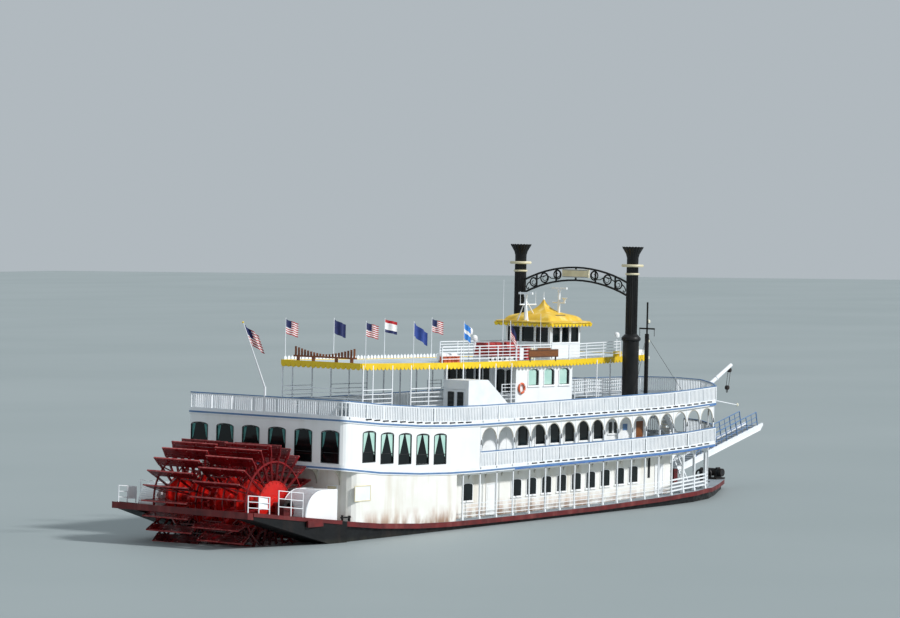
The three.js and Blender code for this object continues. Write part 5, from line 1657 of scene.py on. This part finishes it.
STAGE = {"x": 42.9, "z": 2.15, "angle": math.radians(13.9), "half": 0.7, "posts": 7}
BOOM = {"x": 43.2, "z": 5.54, "angle": math.radians(25.8), "length": 8.75}


def raised(gear, x, y, z):
    """A point of a raised bow gear, from its place along, across and above it."""
    rise = gear["angle"]
    return (gear["x"] + x * math.cos(rise) - z * math.sin(rise), y,
            gear["z"] + x * math.sin(rise) + z * math.cos(rise))


STAGE_SIDE = [(0.15, -0.2), (0.8, -0.21), (11.35, -0.21), (11.75, 0.05), (11.75, 0.21), (0.8, 0.21),
              (0.15, 0.1)]


@shaped
def landing_stage(shape):
    """White side beams over a slatted floor, with thin blue posts and rails."""

    def at(x, y, z):
        return raised(STAGE, x, y, z)

    for y in about(0, STAGE["half"]):
        shape.loft([[at(x, across, z) for x, z in STAGE_SIDE] for across in about(y, 0.06)], TRIM)
        for edge in (-0.19, 0.17):
            shape.beam(at(0.85, y * 1.1, edge), at(11.3, y * 1.1, edge), 0.04, 0.05, WHITE)
        for index in range(STAGE["posts"] * 2 - 1):
            x = 3.0 + 0.675 * index
            shape.rod(at(x, y, 0.15), at(x, y, 1.18), 0.022 if index % 2 else 0.04, BLUE)
        for z, radius in ((0.5, 0.025), (0.82, 0.025), (1.17, 0.035)):
            shape.rod(at(2.97, y, z), at(11.13, y, z), radius, BLUE)
    floor = rectangle((0.1, 11.65), (-0.02, 0.05))
    shape.loft([[at(x, y, z) for x, z in floor] for y in (-0.63, 0.63)], DECK_GREY)
    for index in range(24):
        x = 0.6 + index * 0.47
        shape.beam(at(x, -0.62, 0.055), at(x, 0.62, 0.055), 0.06, 0.03, DARK_GREY)
    shape.rod(at(0, -0.95, 0), at(0, 0.95, 0), 0.08, STEEL, 16)
    for y in (-0.7, 0.7):
        shape.lathe(symmetric([(0.085, 0.06), (0.17, 0.06)]), at(0, y, 0), TRIM, 20, "y")


@shaped
def boom_tackle(shape):
    x, _, z = raised(BOOM, BOOM["length"] - 0.25, 0, -0.1)
    for y in (-0.1, 0.1):
        shape.rod((x, y, z), (x - 0.25, y, z - 1.35), 0.018, STEEL, 6)
    for drop in (0.16, 1.4):
        shape.lathe([(0.05, -0.13), (0.15, -0.11), (0.17, 0.0), (0.15, 0.11), (0.05, 0.13)],
                    (x - 0.19 * drop, 0, z - drop), STEEL, 16, "y")
    shape.ring(0.09, 0.025, (x - 0.28, 0, z - 1.65), STEEL, "y", 16, 6)
    for along in (2.2, 4.4, 6.6):
        shape.lathe(symmetric([(0.17, 0.05), (0.18, 0.05)]), raised(BOOM, along, 0, 0), TRIM, 14, "x")


LADDER = {"foot": 44.0, "head": 41.9, "rails": (-1.25, -0.8), "rungs": 9, "spacing": 0.22}


@shaped
def fore_deck_gear(shape):
    """Bitts, a light on a pole from the hurricane deck's edge, a ladder and rings by the windlass."""
    deck = MAIN(45.5)
    for y in (-1.9, 1.9):
        for x in (44.7, 45.3):
            shape.lathe([(0.12, 0.0), (0.1, 0.04), (0.1, 0.4), (0.13, 0.43), (0.13, 0.47), (0.0, 0.48)],
                        (x, y, deck), HULL_BLACK, 14)
        shape.box((44.5, 45.5), about(y, 0.18), (deck, deck + 0.04), HULL_BLACK)
    tip = (50.3, -1.1, 6.58)
    shape.rod((43.9, tip[1], HURRICANE(43.9) - DECK / 2), tip, 0.05, TRIM, 8, 0.03)
    shape.lathe([(0.04, -0.1), (0.09, -0.05), (0.09, 0.08), (0.03, 0.13)], tip, LAMP, 12)
    x0, x1 = LADDER["foot"], LADDER["head"]
    foot, head = MAIN(x0) + 0.03, PROMENADE(x1) - 0.25
    for y in LADDER["rails"]:
        shape.beam((x0, y, foot), (x1, y, head), 0.06, 0.1, TRIM)
    for step in range(LADDER["rungs"]):
        x = x0 - 0.15 - step * LADDER["spacing"]
        z = mix(foot, head, (x0 - x) / (x0 - x1))
        shape.beam(*[(x, y, z) for y in LADDER["rails"]], 0.16, 0.03, TRIM)
    for x in (47.35, 48.35):
        shape.ring(0.3, 0.07, (x, 0.0, MAIN(x) + 0.36), STEEL, "x", 20, 6)


piece("landing_stage_dressed", landing_stage(), "landing_stage", ["landing_stage"])
piece("boom_tackle", boom_tackle(), "boom")
piece("fore_deck_gear", fore_deck_gear())


# Flags: a cloth's rows run down the hoist, its columns out along the fly.

STRIPES = ["cloth_red", "cloth_white"] * 6 + ["cloth_red"]
PATTERNS = {
    "striped": STRIPES,
    "navy": ["cloth_navy"] * 13,
    "banded": ["cloth_red"] * 3 + ["cloth_white"] * 7 + ["cloth_navy"] * 3,
    "blue": ["cloth_blue"] * 13,
    "sky": ["cloth_sky"] * 5 + ["cloth_white"] * 3 + ["cloth_sky"] * 5,
    "headed": ["cloth_navy"] * 6 + STRIPES[:7],
}
FLAG_STEPS = 24
CANTON = (0.42, 7)
# Flags: name, pole's x, side, hoist, fly, droop, pattern and canton.
FLAG_ROWS = (
    ("port_a", 5.6, 1, 0.85, 1.15, 0.25, "striped", True),
    ("port_b", 10.3, 1, 0.85, 1.1, 0.3, "navy", False),
    ("port_c", 15.4, 1, 0.8, 1.2, 0.15, "banded", False),
    ("port_d", 20.3, 1, 0.8, 1.15, 0.2, "striped", True),
    ("starboard_a", 5.6, -1, 0.8, 1.15, 0.2, "striped", True),
    ("starboard_b", 10.3, -1, 0.8, 1.3, 0.5, "blue", False),
    ("starboard_c", 15.4, -1, 0.95, 0.65, 0.5, "sky", False),
    ("starboard_d", 20.3, -1, 0.95, 0.6, 1.3, "headed", False),
)


def flag(name, top, down, size, heading, droop, pattern, canton):
    """Cloth with its hoist held along a pole; its waves run along the fly."""
    hoist, fly = size
    down = Vector(down).normalized()
    base = Vector(top)
    across = len(STRIPES)
    points, faces, paints = [], [], []
    for step in range(FLAG_STEPS + 1):
        points += [base + down * (hoist * row / across) for row in range(across + 1)]
        angle = heading + 0.75 * math.sin(step / FLAG_STEPS * 11.0)
        run = Vector((math.cos(angle), math.sin(angle), 0)) * (fly / FLAG_STEPS)
        base = base + run - Vector((0, 0, droop * fly / FLAG_STEPS))
    for step in range(FLAG_STEPS):
        for row in range(across):
            low = step * (across + 1) + row
            faces.append((low, low + 1, low + across + 2, low + across + 1))
            inside = canton and step < FLAG_STEPS * CANTON[0] and row < CANTON[1]
            paints.append("cloth_navy" if inside else PATTERNS[pattern][row])
    shape = Shape()
    shape.add(points, faces, paints)
    cloth = piece(name, shape)


for name, x, side, hoist, fly, droop, pattern, canton in FLAG_ROWS:
    top = (x + 0.03, side * POST_LINE, BOAT_DECK(x) + 2.5)
    flag(f"flag_{name}", top, (0, 0, -1), (hoist, fly), -0.25, droop, pattern, canton)
down = Vector(STAFF_FOOT) - Vector(STAFF_TIP)
flag("ensign", (-1.98, 0, 12.7), down, (1.25, 1.35), -0.2, 0.5, "striped", True)


# What is left of the frame's nodes, painted as it is.

for node in ("stair_house", "stair_house_leaf_inner", "stair_house_leaf_outer", "boom", "saloon_door",
             "radar_scanner_fore", "radar_scanner_aft"):
    paint_node(node, TRIM)
for node in ("stack_arch", "signal_mast"):
    paint_node(node, STACK_BLACK)
paint_node("windlass", STEEL)
paint_node("calliope", "pipe_copper")
